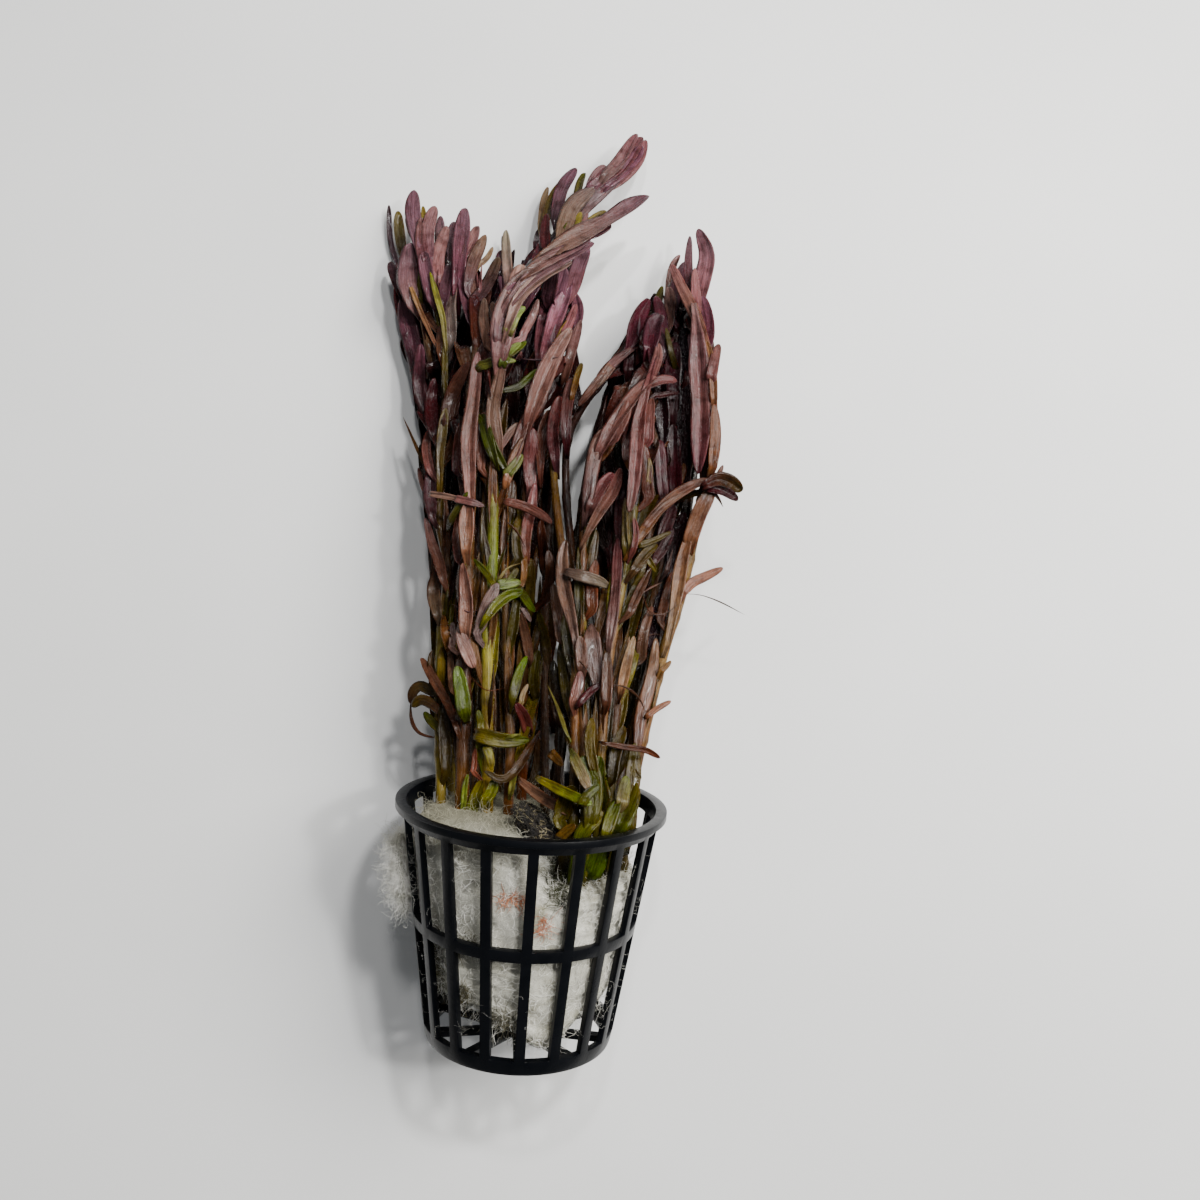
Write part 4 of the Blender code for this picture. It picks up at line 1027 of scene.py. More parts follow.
upperLeftLeaves = [
    ("dusk", "plum", 1.4, 0.5, 20, (399, 268), (391, 240), (389, 205)),
    ("umber", "amber", 2.4, 1.0, 0, (404, 262), (399, 230), (398, 211)),
    ("mauve", "mauve", 3.5, 2.0, -15, (420, 250), (413, 215), (414, 190)),
    ("amber", "amber", 1.3, 1.6, 0, (426, 226), (424, 216), (423, 206)),
    ("mauve", "rose", 3.4, 2.2, 10, (428, 262), (428, 230), (435, 206)),
    ("rose", "rose", 3.2, 2.4, -20, (436, 280), (438, 255), (447, 226)),
    ("wineRose", "mauve", 3.9, 2.4, 15, (458, 295), (461, 250), (465, 208)),
    ("dusk", "umberRose", 2.7, 1.6, -10, (467, 290), (473, 262), (486, 235)),
    ("tanRose", "tanRose", 1.3, 2.0, 0, (478, 266), (487, 258), (493, 247)),
    ("rose", "rose", 0.8, 2.0, 0, (480, 290), (481, 275), (482, 262)),
    ("dusk", "umber", 3.2, 1.4, 25, (472, 304), (487, 285), (499, 257)),
    ("rosePale", "blush", 2.3, 2.2, 10, (509, 290), (507, 255), (506, 230)),
    ("dusk", "plum", 1.1, 1.4, 0, (504, 262), (503, 248), (502, 236)),
    ("dustyRose", "mauve", 5.0, 2.6, -5, (412, 304), (408, 275), (411, 243)),
    ("tan", "tanRose", 1.1, 2.4, 0, (412, 290), (420, 310), (428, 328), (438, 350)),
    ("olive", "olive", 1.3, 1.4, 0, (420, 298), (420, 284), (421, 268)),
    ("straw", "oliveYellow", 1.3, 2.6, 0, (446, 350), (443, 320), (437, 298), (430, 272)),
    ("plum", "mauve", 4.6, 1.4, 15, (420, 380), (412, 340), (402, 298)),
    ("plum", "dusk", 2.8, 2.0, -10, (443, 306), (447, 280), (452, 262)),
    ("greyBeige", "dustyRose", 4.0, 3.2, 12, (452, 342), (450, 308), (455, 283)),
    ("rust", "wine", 2.9, 1.0, 0, (477, 342), (476, 318), (473, 295)),
    ("tanRose", "blush", 2.3, 3.0, -8, (487, 346), (484, 320), (484, 298)),
    ("plum", "umber", 2.3, 2.0, 0, (498, 338), (495, 318), (492, 302)),
    ("dustyRose", "mauve", 2.9, 1.2, 20, (444, 268), (441, 240), (440, 216)),
    ("dusk", "mauve", 2.7, 1.0, -20, (452, 262), (452, 240), (455, 222)),
    ("wine", "dusk", 2.4, 0.4, 10, (405, 300), (397, 280), (390, 262)),
    ("wineRose", "rose", 2.8, 1.6, 12, (424, 262), (421, 240), (422, 218)),
    ("dusk", "mauve", 3.2, 0.6, -12, (470, 322), (466, 300), (462, 276)),
    ("rose", "rose", 2.4, 1.0, 6, (462, 262), (472, 244), (478, 226)),
    ("mauve", "mauve", 3.7, 1.8, 8, (432, 300), (428, 276), (424, 252)),
]

topShootLeaves = [
    ("dustyRose", "rose", 3.0, 2.4, 10, (603, 180), (620, 162), (637, 134)),
    ("rose", "rose", 2.6, 2.6, -14, (600, 195), (622, 178), (638, 160), (646, 140)),
    ("wineRose", "rose", 2.2, 1.4, 0, (588, 190), (596, 176), (606, 166)),
    ("umberRose", "dustyRose", 4.1, 2.6, -6, (560, 244), (572, 208), (594, 188)),
    ("dusk", "mauve", 3.2, 2.0, 12, (555, 220), (562, 190), (576, 168)),
    ("umber", "olive", 1.8, 1.4, 0, (577, 198), (580, 185), (585, 173)),
    ("umber", "amber", 2.1, 1.4, 10, (545, 228), (552, 200), (561, 181)),
    ("tanRose", "tanRose", 1.8, 1.4, -10, (541, 230), (543, 205), (548, 187)),
    ("wine", "wine", 2.2, 0.6, 0, (546, 250), (545, 232), (547, 214)),
    ("umberRose", "mauve", 4.6, 4.2, 10, (536, 262), (570, 243), (610, 221), (649, 196)),
    ("dusk", "dusk", 2.2, 2.6, -20, (560, 240), (596, 224), (632, 204)),
    ("amber", "amber", 1.8, 2.0, 0, (584, 226), (594, 219), (606, 211)),
    ("olive", "amber", 1.8, 2.0, 0, (574, 236), (577, 224), (581, 212)),
    ("rose", "rose", 1.2, 2.0, 0, (582, 228), (585, 220), (588, 213)),
    ("darkOlive", "olive", 2.0, 1.0, 0, (561, 246), (565, 234), (570, 222)),
    ("umberRose", "mauve", 3.2, 4.4, 6, (518, 280), (545, 262), (575, 248), (591, 239)),
    ("rose", "orchid", 3.5, 3.0, -10, (570, 296), (578, 265), (588, 245)),
    ("rose", "salmon", 4.1, 3.6, 0, (515, 298), (518, 282), (523, 265)),
    ("mauve", "rose", 2.9, 1.8, 8, (590, 190), (606, 178), (622, 168)),
    ("dustyRose", "mauve", 3.7, 2.0, 4, (562, 236), (578, 212), (600, 192), (624, 170)),
    ("wineRose", "rose", 3.6, 1.6, 0, (596, 190), (614, 174), (630, 156), (642, 137)),
    ("mauve", "mauve", 2.6, 2.9, 6, (604, 190), (620, 176), (634, 160), (642, 146)),
    ("plum", "dusk", 2.6, 0.8, 0, (556, 240), (570, 216), (588, 196)),
    ("rosePale", "dustyRose", 5.2, 4.2, -4, (499, 360), (503, 325), (512, 295), (532, 270)),
    ("dustyRose", "mauve", 3.9, 4.8, 6, (508, 306), (530, 280), (560, 261), (594, 243)),
    ("blush", "rosePale", 2.4, 5.4, 14, (507, 330), (520, 298), (546, 275), (572, 262)),
    ("dustyRose", "mauve", 2.7, 5.0, -20, (498, 340), (503, 304), (516, 282)),
    ("straw", "greenPale", 2.3, 5.4, 0, (508, 332), (516, 314), (525, 307)),
    ("rosePale", "rosePale", 2.0, 4.2, 0, (520, 340), (533, 315), (538, 299)),
    ("rose", "mauve", 3.2, 3.6, -12, (540, 358), (545, 312), (551, 278)),
    ("rose", "orchid", 3.7, 3.6, 10, (546, 358), (556, 320), (571, 284)),
    ("mauve", "orchid", 3.7, 2.4, -16, (553, 308), (559, 285), (564, 266)),
    ("dusk", "mauve", 2.7, 1.6, 0, (575, 330), (578, 310), (574, 292)),
    ("greyMauve", "lilac", 0.9, 4.4, 0, (552, 348), (553, 336), (556, 324)),
    ("olive", "amber", 1.8, 3.6, 0, (554, 354), (562, 333), (570, 319)),
    ("rose", "rose", 2.0, 3.4, 0, (564, 336), (572, 316), (576, 304)),
    ("umberRose", "dustyRose", 2.2, 3.0, 8, (564, 380), (573, 345), (581, 320)),
    ("rosePale", "blush", 3.8, 4.4, -6, (530, 416), (545, 375), (560, 345), (571, 328)),
    ("tan", "olive", 1.5, 3.4, 0, (572, 397), (577, 377), (582, 363)),
    ("darkOlive", "green", 1.5, 4.6, 0, (502, 391), (519, 386), (538, 369)),
    ("olive", "green", 2.0, 5.0, 20, (508, 356), (517, 349), (526, 341)),
    ("greyMauve", "greyMauve", 0.5, 4.6, 0, (521, 359), (540, 360), (559, 357)),
    ("plum", "dusk", 3.4, 1.0, 10, (548, 300), (552, 270), (549, 244)),
    ("night", "plum", 3.7, 0.6, 0, (524, 360), (530, 330), (540, 300)),
]

leftStraps = [
    ("dusk", "mauve", 3.2, 2.2, 10, (426, 412), (420, 385), (421, 344)),
    ("wine", "wineRose", 3.0, 2.4, -10, (434, 436), (431, 405), (434, 378)),
    ("rust", "wineRose", 1.2, 2.2, 0, (437, 444), (428, 426), (417, 411)),
    ("olive", "tan", 0.8, 1.4, 0, (428, 474), (414, 442), (403, 417)),
    ("rosePale", "salmon", 2.4, 2.8, 8, (431, 470), (427, 450), (430, 430)),
    ("olive", "olive", 1.4, 2.0, 0, (446, 400), (445, 372), (446, 338)),
    ("umber", "umberRose", 3.2, 2.6, -14, (446, 426), (452, 395), (469, 362)),
    ("olive", "straw", 2.1, 2.4, 0, (440, 486), (441, 450), (446, 408)),
    ("blush", "rosePale", 3.2, 3.2, -6, (470, 496), (469, 440), (475, 390), (478, 352)),
    ("pearl", "blush", 3.3, 3.4, 8, (497, 446), (493, 410), (498, 385), (503, 362)),
    ("oliveYellow", "greenPale", 2.0, 4.0, 0, (479, 367), (500, 360), (516, 361)),
    ("green", "greenPale", 2.0, 4.4, 12, (503, 364), (510, 352), (521, 343)),
    ("green", "green", 1.8, 3.2, 0, (476, 414), (488, 432), (495, 450), (509, 474)),
    ("green", "green", 2.7, 3.6, 14, (494, 458), (488, 438), (482, 414)),
    ("green", "greenPale", 2.0, 3.4, 0, (508, 474), (517, 463), (522, 454)),
    ("lilac", "pearl", 1.5, 3.4, 0, (501, 448), (509, 434), (519, 423)),
    ("umberRose", "rosePale", 2.4, 3.2, 6, (511, 468), (522, 430), (536, 392)),
    ("tan", "tanBlush", 2.2, 3.4, 0, (506, 484), (513, 460), (523, 438)),
    ("dustyRose", "rose", 3.2, 2.6, -8, (531, 490), (530, 460), (533, 428)),
    ("salmon", "salmon", 1.1, 2.2, 0, (424, 490), (421, 480), (418, 468)),
    ("dusk", "umberRose", 2.4, 1.6, 14, (457, 470), (459, 446), (463, 420)),
    ("umberRose", "umberRose", 2.7, 2.2, -12, (540, 470), (541, 440), (549, 410)),
    ("dusk", "rose", 2.9, 2.0, 10, (556, 460), (554, 430), (560, 396)),
    ("wineRose", "dustyRose", 2.7, 1.8, 0, (566, 440), (566, 410), (572, 378)),
    ("tanRose", "rosePale", 2.4, 2.6, 8, (482, 470), (481, 440), (484, 412)),
    ("dusk", "dusk", 2.9, 1.4, 0, (433, 520), (430, 495), (431, 466)),
]

rightTopLeaves = [
    ("rose", "mauve", 3.7, 2.6, 8, (697, 314), (703, 280), (707, 255), (698, 229)),
    ("wine", "dusk", 2.1, 1.6, -15, (692, 306), (688, 270), (690, 236)),
    ("rose", "rose", 2.4, 3.0, 0, (697, 320), (696, 294), (695, 268)),
    ("umberRose", "rose", 1.8, 1.6, 0, (668, 290), (673, 268), (680, 255)),
    ("tanRose", "rose", 2.6, 3.4, 0, (709, 350), (700, 325), (688, 300), (678, 280), (671, 264)),
    ("umber", "olive", 2.2, 1.6, 8, (655, 314), (658, 300), (662, 286)),
    ("wineRose", "wineRose", 3.2, 2.0, -10, (628, 350), (637, 320), (649, 299)),
    ("lilac", "lilac", 0.6, 2.6, 0, (638, 336), (639, 326), (640, 316)),
    ("wineRose", "dusk", 4.3, 2.6, 6, (650, 350), (655, 325), (661, 315)),
    ("wine", "wineRose", 2.2, 2.8, 0, (655, 374), (652, 350), (652, 334)),
    ("rose", "salmon", 2.2, 3.2, 6, (648, 384), (657, 360), (659, 343)),
    ("darkOlive", "olive", 1.4, 2.4, 0, (676, 370), (670, 348), (666, 328)),
    ("umberRose", "dustyRose", 2.6, 1.8, -8, (668, 326), (670, 300), (668, 287)),
    ("plum", "night", 3.9, 1.6, 20, (686, 492), (684, 400), (683, 326)),
    ("plum", "dusk", 2.2, 2.2, 0, (697, 372), (694, 352), (690, 334)),
    ("rosePale", "mauve", 4.3, 4.6, -6, (697, 334), (699, 370), (701, 420), (698, 474)),
    ("rose", "salmon", 2.4, 3.8, 8, (711, 378), (715, 358), (719, 344)),
    ("dustyRose", "rose", 2.1, 3.0, 0, (646, 387), (662, 381), (677, 381)),
    ("wine", "wine", 1.3, 2.0, 0, (654, 397), (667, 395), (679, 393)),
    ("mauve", "mauve", 3.2, 1.4, 12, (672, 318), (676, 290), (684, 262)),
    ("dusk", "wineRose", 2.9, 1.0, -12, (664, 352), (662, 322), (656, 296)),
    ("wineRose", "mauve", 2.9, 2.2, 8, (707, 350), (708, 322), (702, 296)),
    ("plum", "wineRose", 3.7, 1.2, 0, (672, 420), (672, 380), (676, 342)),
    ("night", "plum", 3.4, 0.8, 8, (664, 440), (662, 400), (660, 366)),
    ("wine", "dusk", 2.7, 0.8, 0, (628, 372), (630, 350), (637, 330)),
    ("tanRose", "tan", 1.8, 3.2, 0, (714, 400), (712, 370), (706, 340)),
    ("tan", "tanRose", 2.4, 3.2, 4, (712, 470), (715, 436), (714, 404)),
    ("wineRose", "plum", 3.2, 2.0, 6, (676, 500), (674, 460), (673, 424)),
    ("dusk", "wineRose", 2.7, 1.2, 0, (664, 500), (661, 468), (660, 440)),
    ("rose", "rosePale", 2.4, 2.2, 0, (648, 440), (650, 414), (652, 398)),
]

rightMiddleLeaves = [
    ("dustyRose", "rosePale", 3.2, 3.2, 10, (599, 454), (615, 425), (640, 392), (657, 377)),
    ("rose", "rosePale", 2.9, 3.2, -8, (648, 384), (641, 410), (637, 440), (634, 480), (629, 512)),
    ("rose", "dustyRose", 2.2, 2.6, 0, (637, 404), (629, 430), (624, 462)),
    ("greyMauve", "blush", 3.2, 3.2, 0, (586, 508), (592, 470), (599, 440), (609, 428)),
    ("dustyRose", "rose", 2.7, 3.8, 12, (591, 508), (602, 487), (613, 473)),
    ("blush", "rosePale", 2.4, 3.8, -6, (588, 532), (600, 510), (612, 492), (621, 468)),
    ("dusk", "plum", 2.2, 2.0, 0, (620, 550), (619, 514), (622, 480)),
    ("straw", "olive", 1.3, 2.4, 0, (630, 546), (629, 520), (628, 500)),
    ("straw", "straw", 1.3, 2.6, 0, (649, 482), (650, 470), (649, 458)),
    ("tan", "blush", 2.4, 4.4, 0, (639, 538), (655, 515), (672, 498), (690, 487), (706, 481), (717, 485)),
    ("dustyRose", "tanBlush", 1.5, 5.0, 12, (645, 527), (663, 507), (684, 493)),
    ("wineRose", "olive", 2.9, 4.8, 0, (704, 486), (718, 479), (731, 482), (742, 491)),
    ("wineRose", "wine", 2.4, 4.4, 10, (710, 488), (724, 492), (738, 500)),
    ("umber", "umber", 0.8, 4.0, 0, (710, 489), (718, 498), (723, 507)),
    ("tanBlush", "blush", 1.2, 4.2, 0, (716, 482), (719, 474), (723, 465)),
    ("tanRose", "tanBlush", 3.5, 3.2, 8, (690, 540), (700, 512), (713, 488)),
    ("darkOlive", "olive", 1.4, 2.2, 0, (672, 500), (692, 494), (711, 489)),
    ("olive", "olive", 1.4, 3.6, 0, (639, 546), (655, 540), (671, 532)),
    ("tan", "tan", 1.2, 2.8, 0, (679, 484), (683, 474), (684, 463)),
    ("wineRose", "dusk", 2.7, 1.2, 8, (608, 560), (607, 525), (610, 495)),
    ("dustyRose", "rosePale", 2.4, 3.2, -8, (612, 440), (622, 418), (628, 400)),
    ("umberRose", "rust", 2.4, 1.6, 0, (648, 500), (646, 470), (645, 444)),
    ("plum", "dusk", 2.7, 1.4, 0, (660, 540), (668, 520), (674, 505)),
    ("tanRose", "dustyRose", 2.0, 2.6, 0, (610, 366), (594, 386), (578, 406)),
    ("dustyRose", "rosePale", 2.1, 2.4, 8, (632, 349), (612, 364), (596, 382)),
    ("blush", "pearl", 0.9, 2.6, 0, (615, 368), (606, 378), (597, 389)),
]

middleLeftLeaves = [
    ("pearl", "pearl", 1.4, 4.4, 0, (430, 494), (445, 496), (461, 499)),
    ("rosePale", "greyMauve", 1.8, 4.2, 0, (456, 499), (470, 502), (484, 506)),
    ("olive", "green", 1.8, 4.0, 12, (450, 522), (458, 508), (468, 492)),
    ("tanRose", "blush", 3.0, 3.0, -6, (466, 552), (467, 522), (468, 503)),
    ("oliveYellow", "green", 1.4, 3.0, 0, (494, 584), (485, 571), (474, 559)),
    ("umberRose", "rose", 2.2, 3.2, 6, (527, 560), (526, 535), (531, 507), (535, 483)),
    ("umberRose", "dustyRose", 2.1, 4.2, 0, (505, 502), (520, 505), (540, 514), (552, 523)),
    ("umber", "umber", 0.5, 3.6, 0, (504, 519), (517, 532), (526, 549)),
    ("tan", "tan", 1.3, 3.4, 0, (524, 558), (524, 576), (520, 592)),
    ("straw", "straw", 0.6, 3.4, 0, (499, 579), (508, 568), (521, 563)),
    ("green", "greenPale", 2.2, 4.2, 0, (498, 585), (508, 584), (521, 582)),
    ("oliveYellow", "green", 2.2, 4.0, 10, (484, 622), (496, 606), (508, 596), (523, 591)),
    ("olive", "green", 1.8, 4.0, 0, (519, 589), (528, 603), (535, 612)),
    ("greyMauve", "lilac", 2.6, 3.6, -8, (477, 636), (487, 605), (498, 583)),
    ("umberRose", "rosePale", 2.8, 3.4, 8, (466, 632), (467, 600), (463, 563)),
    ("greyUmber", "umber", 3.0, 2.6, 0, (438, 616), (434, 590), (441, 568)),
    ("rosePale", "greyMauve", 1.4, 3.0, 0, (452, 648), (453, 635), (453, 622)),
    ("umberRose", "greyMauve", 2.1, 2.8, 0, (444, 582), (438, 560), (432, 545), (425, 518)),
    ("lilac", "lilac", 1.2, 3.2, 0, (523, 608), (527, 615), (531, 622)),
    ("green", "olive", 1.5, 4.2, -12, (507, 585), (512, 577), (518, 568)),
    ("darkOlive", "olive", 2.2, 1.6, 0, (518, 560), (516, 536), (520, 514)),
    ("umber", "rust", 2.4, 1.6, 8, (545, 570), (543, 545), (541, 520)),
    ("dusk", "umberRose", 2.4, 1.8, -8, (458, 560), (457, 535), (460, 512)),
    ("umber", "umberRose", 2.0, 2.8, 0, (458, 732), (448, 705), (436, 684), (421, 658)),
    ("greyMauve", "rosePale", 2.6, 3.4, 8, (460, 632), (466, 650), (474, 668)),
    ("green", "green", 3.2, 4.2, -6, (464, 712), (461, 690), (457, 666)),
    ("oliveYellow", "green", 1.8, 3.6, 0, (481, 730), (480, 720), (478, 710)),
    ("rose", "wineRose", 2.3, 3.0, 0, (528, 730), (524, 716), (516, 703)),
    ("straw", "pearl", 1.2, 3.0, 0, (521, 703), (523, 694), (528, 684)),
    ("oliveYellow", "green", 2.9, 4.4, 0, (476, 734), (490, 737), (505, 740), (529, 740)),
    ("greenPale", "greenPale", 0.8, 5.2, 0, (503, 740), (512, 736), (522, 734)),
    ("umber", "darkOlive", 1.8, 3.6, 0, (531, 746), (522, 762), (512, 775), (500, 780), (484, 771)),
    ("greenPale", "oliveYellow", 2.1, 3.4, 0, (487, 748), (490, 758), (492, 770)),
    ("darkOlive", "darkOlive", 2.7, 2.0, 0, (446, 772), (445, 735), (442, 702)),
    ("rose", "rust", 1.2, 3.0, 0, (474, 772), (475, 761), (476, 748)),
    ("tanRose", "umber", 1.5, 2.6, 0, (452, 690), (451, 664), (450, 640)),
    ("umberRose", "umber", 2.2, 2.4, 6, (530, 660), (526, 636), (520, 612)),
    ("olive", "green", 2.0, 3.0, -8, (512, 700), (518, 676), (527, 656)),
    ("umber", "olive", 2.2, 1.8, 0, (548, 660), (544, 634), (538, 612)),
    ("darkOlive", "olive", 2.4, 1.4, 0, (536, 700), (534, 676), (538, 650)),
]

middleRightLeaves = [
    ("dustyRose", "blush", 2.9, 3.4, 0, (577, 646), (572, 620), (565, 590), (563, 560), (566, 540)),
    ("greyMauve", "greyBeige", 2.3, 4.6, 0, (566, 572), (585, 577), (600, 582), (609, 587)),
    ("dustyRose", "mauve", 2.4, 3.2, 8, (609, 645), (615, 600), (617, 570), (618, 538)),
    ("rose", "rose", 1.4, 2.8, 0, (633, 550), (636, 535), (634, 518)),
    ("olive", "straw", 1.8, 2.4, 0, (626, 548), (626, 522), (625, 498)),
    ("umber", "olive", 2.1, 3.0, 0, (633, 572), (645, 555), (657, 544)),
    ("oliveYellow", "olive", 1.4, 3.0, 0, (646, 557), (651, 564), (656, 572)),
    ("dusk", "plum", 2.2, 2.4, 0, (653, 563), (663, 547), (673, 528)),
    ("umberRose", "umber", 1.8, 3.2, 0, (629, 614), (640, 590), (651, 568)),
    ("rust", "umber", 0.5, 3.4, 0, (639, 596), (650, 588), (663, 582)),
    ("night", "plum", 3.4, 0.4, 0, (671, 580), (676, 548), (684, 512)),
    ("plum", "night", 2.8, 0.4, 0, (652, 648), (657, 618), (663, 588)),
    ("tanBlush", "tanRose", 2.7, 3.4, 0, (667, 646), (676, 600), (683, 560), (691, 528)),
    ("salmon", "salmon", 2.0, 3.0, 0, (683, 594), (692, 583), (704, 577), (723, 568)),
    ("greyMauve", "greyMauve", 0.9, 3.0, 0, (666, 572), (669, 562), (673, 548)),
    ("rust", "umber", 0.45, 3.8, 0, (644, 598), (650, 612), (664, 614), (679, 604)),
    ("dustyRose", "umberRose", 2.2, 3.2, 0, (582, 668), (581, 652), (580, 636)),
    ("rosePale", "rose", 2.2, 3.0, 0, (574, 703), (579, 682), (580, 671)),
    ("dustyRose", "greyMauve", 3.2, 3.2, -6, (592, 636), (594, 660), (596, 686)),
    ("umberRose", "umber", 2.4, 3.0, 0, (606, 704), (607, 680), (607, 652)),
    ("umber", "umber", 0.5, 4.2, 0, (611, 685), (625, 687), (638, 697), (646, 712)),
    ("wine", "wineRose", 1.5, 3.2, 0, (578, 705), (591, 691), (603, 684)),
    ("dustyRose", "tanRose", 2.7, 3.0, 0, (637, 750), (640, 720), (648, 690), (653, 668), (656, 638)),
    ("tan", "tan", 1.2, 2.8, 0, (661, 671), (666, 666), (671, 661)),
    ("tanRose", "salmon", 1.2, 3.2, 0, (646, 717), (658, 708), (671, 701)),
    ("umber", "rust", 1.3, 3.6, 0, (603, 743), (625, 747), (645, 750), (660, 758)),
    ("olive", "oliveYellow", 3.3, 3.2, 0, (628, 834), (630, 800), (633, 775), (635, 743)),
    ("greenPale", "pearl", 2.3, 4.4, 0, (574, 758), (582, 775), (589, 790)),
    ("oliveYellow", "green", 2.0, 4.4, 0, (582, 804), (588, 794), (599, 785)),
    ("pearl", "greenPale", 2.7, 3.6, 0, (622, 804), (624, 790), (627, 776)),
    ("greenPale", "straw", 0.8, 3.4, 0, (566, 732), (557, 706), (547, 684)),
    ("amber", "amber", 1.8, 3.0, 0, (551, 753), (556, 758), (563, 766)),
    ("oliveYellow", "green", 2.1, 4.2, 0, (539, 779), (560, 790), (575, 797), (592, 804)),
    ("umber", "olive", 1.8, 3.0, 0, (628, 772), (634, 773), (641, 779)),
    ("umberRose", "umber", 2.2, 2.4, 0, (560, 640), (557, 612), (553, 584)),
    ("rust", "umberRose", 2.4, 2.2, 6, (592, 610), (592, 585), (596, 560)),
    ("umber", "umberRose", 2.2, 2.6, -6, (640, 660), (644, 632), (652, 606)),
    ("tanRose", "tanBlush", 2.0, 2.8, 0, (621, 690), (627, 660), (634, 636)),
    ("olive", "oliveYellow", 2.2, 3.0, 0, (594, 770), (590, 745), (592, 718)),
    ("darkOlive", "olive", 2.4, 2.4, 6, (612, 780), (616, 752), (624, 726)),
    ("umber", "darkOlive", 2.4, 2.0, 0, (558, 720), (554, 690), (553, 660)),
    ("rust", "umber", 2.3, 1.6, 0, (545, 600), (550, 575), (548, 550)),
    ("umberRose", "rust", 2.2, 2.0, 0, (660, 620), (666, 596), (672, 572)),
]

mouthLeaves = [
    ("night", "darkOlive", 3.2, 0.4, 0, (556, 898), (562, 876), (566, 850)),
    ("darkOlive", "green", 3.6, 0.8, 0, (574, 884), (578, 866), (582, 846)),
    ("green", "green", 4.0, 1.0, 8, (592, 872), (597, 858), (603, 842)),
    ("darkOlive", "olive", 2.8, 0.8, 0, (612, 872), (616, 856), (618, 840)),
    ("olive", "green", 4.2, 2.0, -8, (590, 822), (592, 800), (590, 776), (582, 756)),
    ("green", "oliveYellow", 4.4, 2.4, 10, (618, 826), (626, 804), (632, 780)),
    ("darkOlive", "green", 3.6, 1.4, 0, (602, 800), (598, 778), (600, 756)),
    ("oliveYellow", "olive", 3.4, 2.0, -6, (560, 822), (566, 802), (576, 786)),
    ("dustyRose", "greyMauve", 2.1, 1.0, 0, (521, 781), (538, 795), (556, 806), (576, 816)),
    ("green", "oliveYellow", 2.4, 1.6, 0, (472, 810), (476, 795), (482, 780)),
    ("oliveYellow", "green", 2.3, 2.0, 0, (486, 800), (492, 790), (495, 778)),
    ("greenPale", "green", 1.4, 1.6, 0, (464, 802), (465, 788), (468, 774)),
    ("green", "oliveYellow", 3.2, 1.6, 0, (581, 836), (587, 826), (600, 815)),
    ("oliveYellow", "green", 2.7, 1.8, 0, (606, 834), (611, 818), (618, 800)),
    ("amber", "amber", 2.0, 1.4, 0, (560, 838), (567, 831), (576, 825)),
    ("straw", "greenPale", 1.3, 1.6, 0, (511, 792), (513, 781), (515, 769)),
]

hairs = [
    ("umber", "umber", 0.3, 2.0, 0, (684, 594), (700, 595), (720, 602), (745, 615)),
    ("rust", "umber", 0.28, 3.0, 0, (640, 640), (655, 634), (668, 640)),
    ("dusk", "dusk", 0.25, 4.0, 0, (452, 604), (470, 612), (486, 606)),
    ("umber", "umber", 0.25, 4.0, 0, (560, 652), (578, 660), (590, 676), (596, 700)),
    ("rust", "rust", 0.25, 4.0, 0, (470, 676), (486, 690), (506, 688)),
]

curledLeaves = [
    ("olive", "umber", 2.4, 1.0, 0, (441, 694), (430, 690), (420, 686), (413, 692), (411, 704)),
    ("umberRose", "olive", 2.2, 1.6, 10, (440, 712), (430, 703), (420, 700), (412, 707)),
    ("umber", "umberRose", 0.9, 0.4, 0, (411, 700), (411, 718), (418, 732), (432, 737), (441, 736)),
    ("olive", "green", 2.0, 1.0, -20, (441, 730), (432, 722), (424, 712)),
]

shownLeaves = (
    upperLeftLeaves + topShootLeaves + leftStraps + rightTopLeaves + rightMiddleLeaves
    + middleLeftLeaves + middleRightLeaves + mouthLeaves + curledLeaves + hairs
)


pile = {
    "cell": 4.0, "reach": 4.5, "cover": 1.0, "fall": 5.0, "steepest": 0.42, "lowest": 1.2, "joinWithin": 7.0,
    "perPixel": 0.21, "parting": {"across": 590, "down": 300, "slope": 0.09},
}


def makePile(lines):
    # Height of the pile of stems at any pixel of the view: a grid of cells that the stems are spread over.
    cell, reach = pile["cell"], pile["reach"]
    cells = np.full((int(view["size"] / cell), int(view["size"] / cell)), -1.0)
    rows, columns = np.mgrid[0:cells.shape[0], 0:cells.shape[1]]
    for line in lines.values():
        across, down = pixelOf(line)
        for x, y, z in zip(across / cell, down / cell, line[:, 2]):
            low, high = max(0, int(y - reach)), int(y + reach + 2)
            left, right = max(0, int(x - reach)), int(x + reach + 2)
            away = np.hypot(rows[low:high, left:right] - y, columns[low:high, left:right] - x) / reach
            value = np.where(away < 1.0, z + pile["cover"] - pile["fall"] * away ** 2, -1.0)
            cells[low:high, left:right] = np.maximum(cells[low:high, left:right], value)
    return cells


def pileAt(cells, across, down):
    row = min(cells.shape[0] - 1, max(0, int(down / pile["cell"])))
    column = min(cells.shape[1] - 1, max(0, int(across / pile["cell"])))
    return cells[row, column]


def nearestStem(lines, point, side):
    # The shoot that passes nearest to the point, and the place along it.
    best = None
    for name, line in lines.items():
        if side not in name:
            continue
        away = np.linalg.norm((line - point) * (1.0, 1.0, 0.6), axis=1)
        place = int(away.argmin())
        if best is None or away[place] < best[0]:
            best = (away[place], name, place)
    return best


def smoothed(values):
    padded = np.concatenate([values[:1], values, values[-1:]])
    return 0.25 * padded[:-2] + 0.5 * padded[1:-1] + 0.25 * padded[2:]


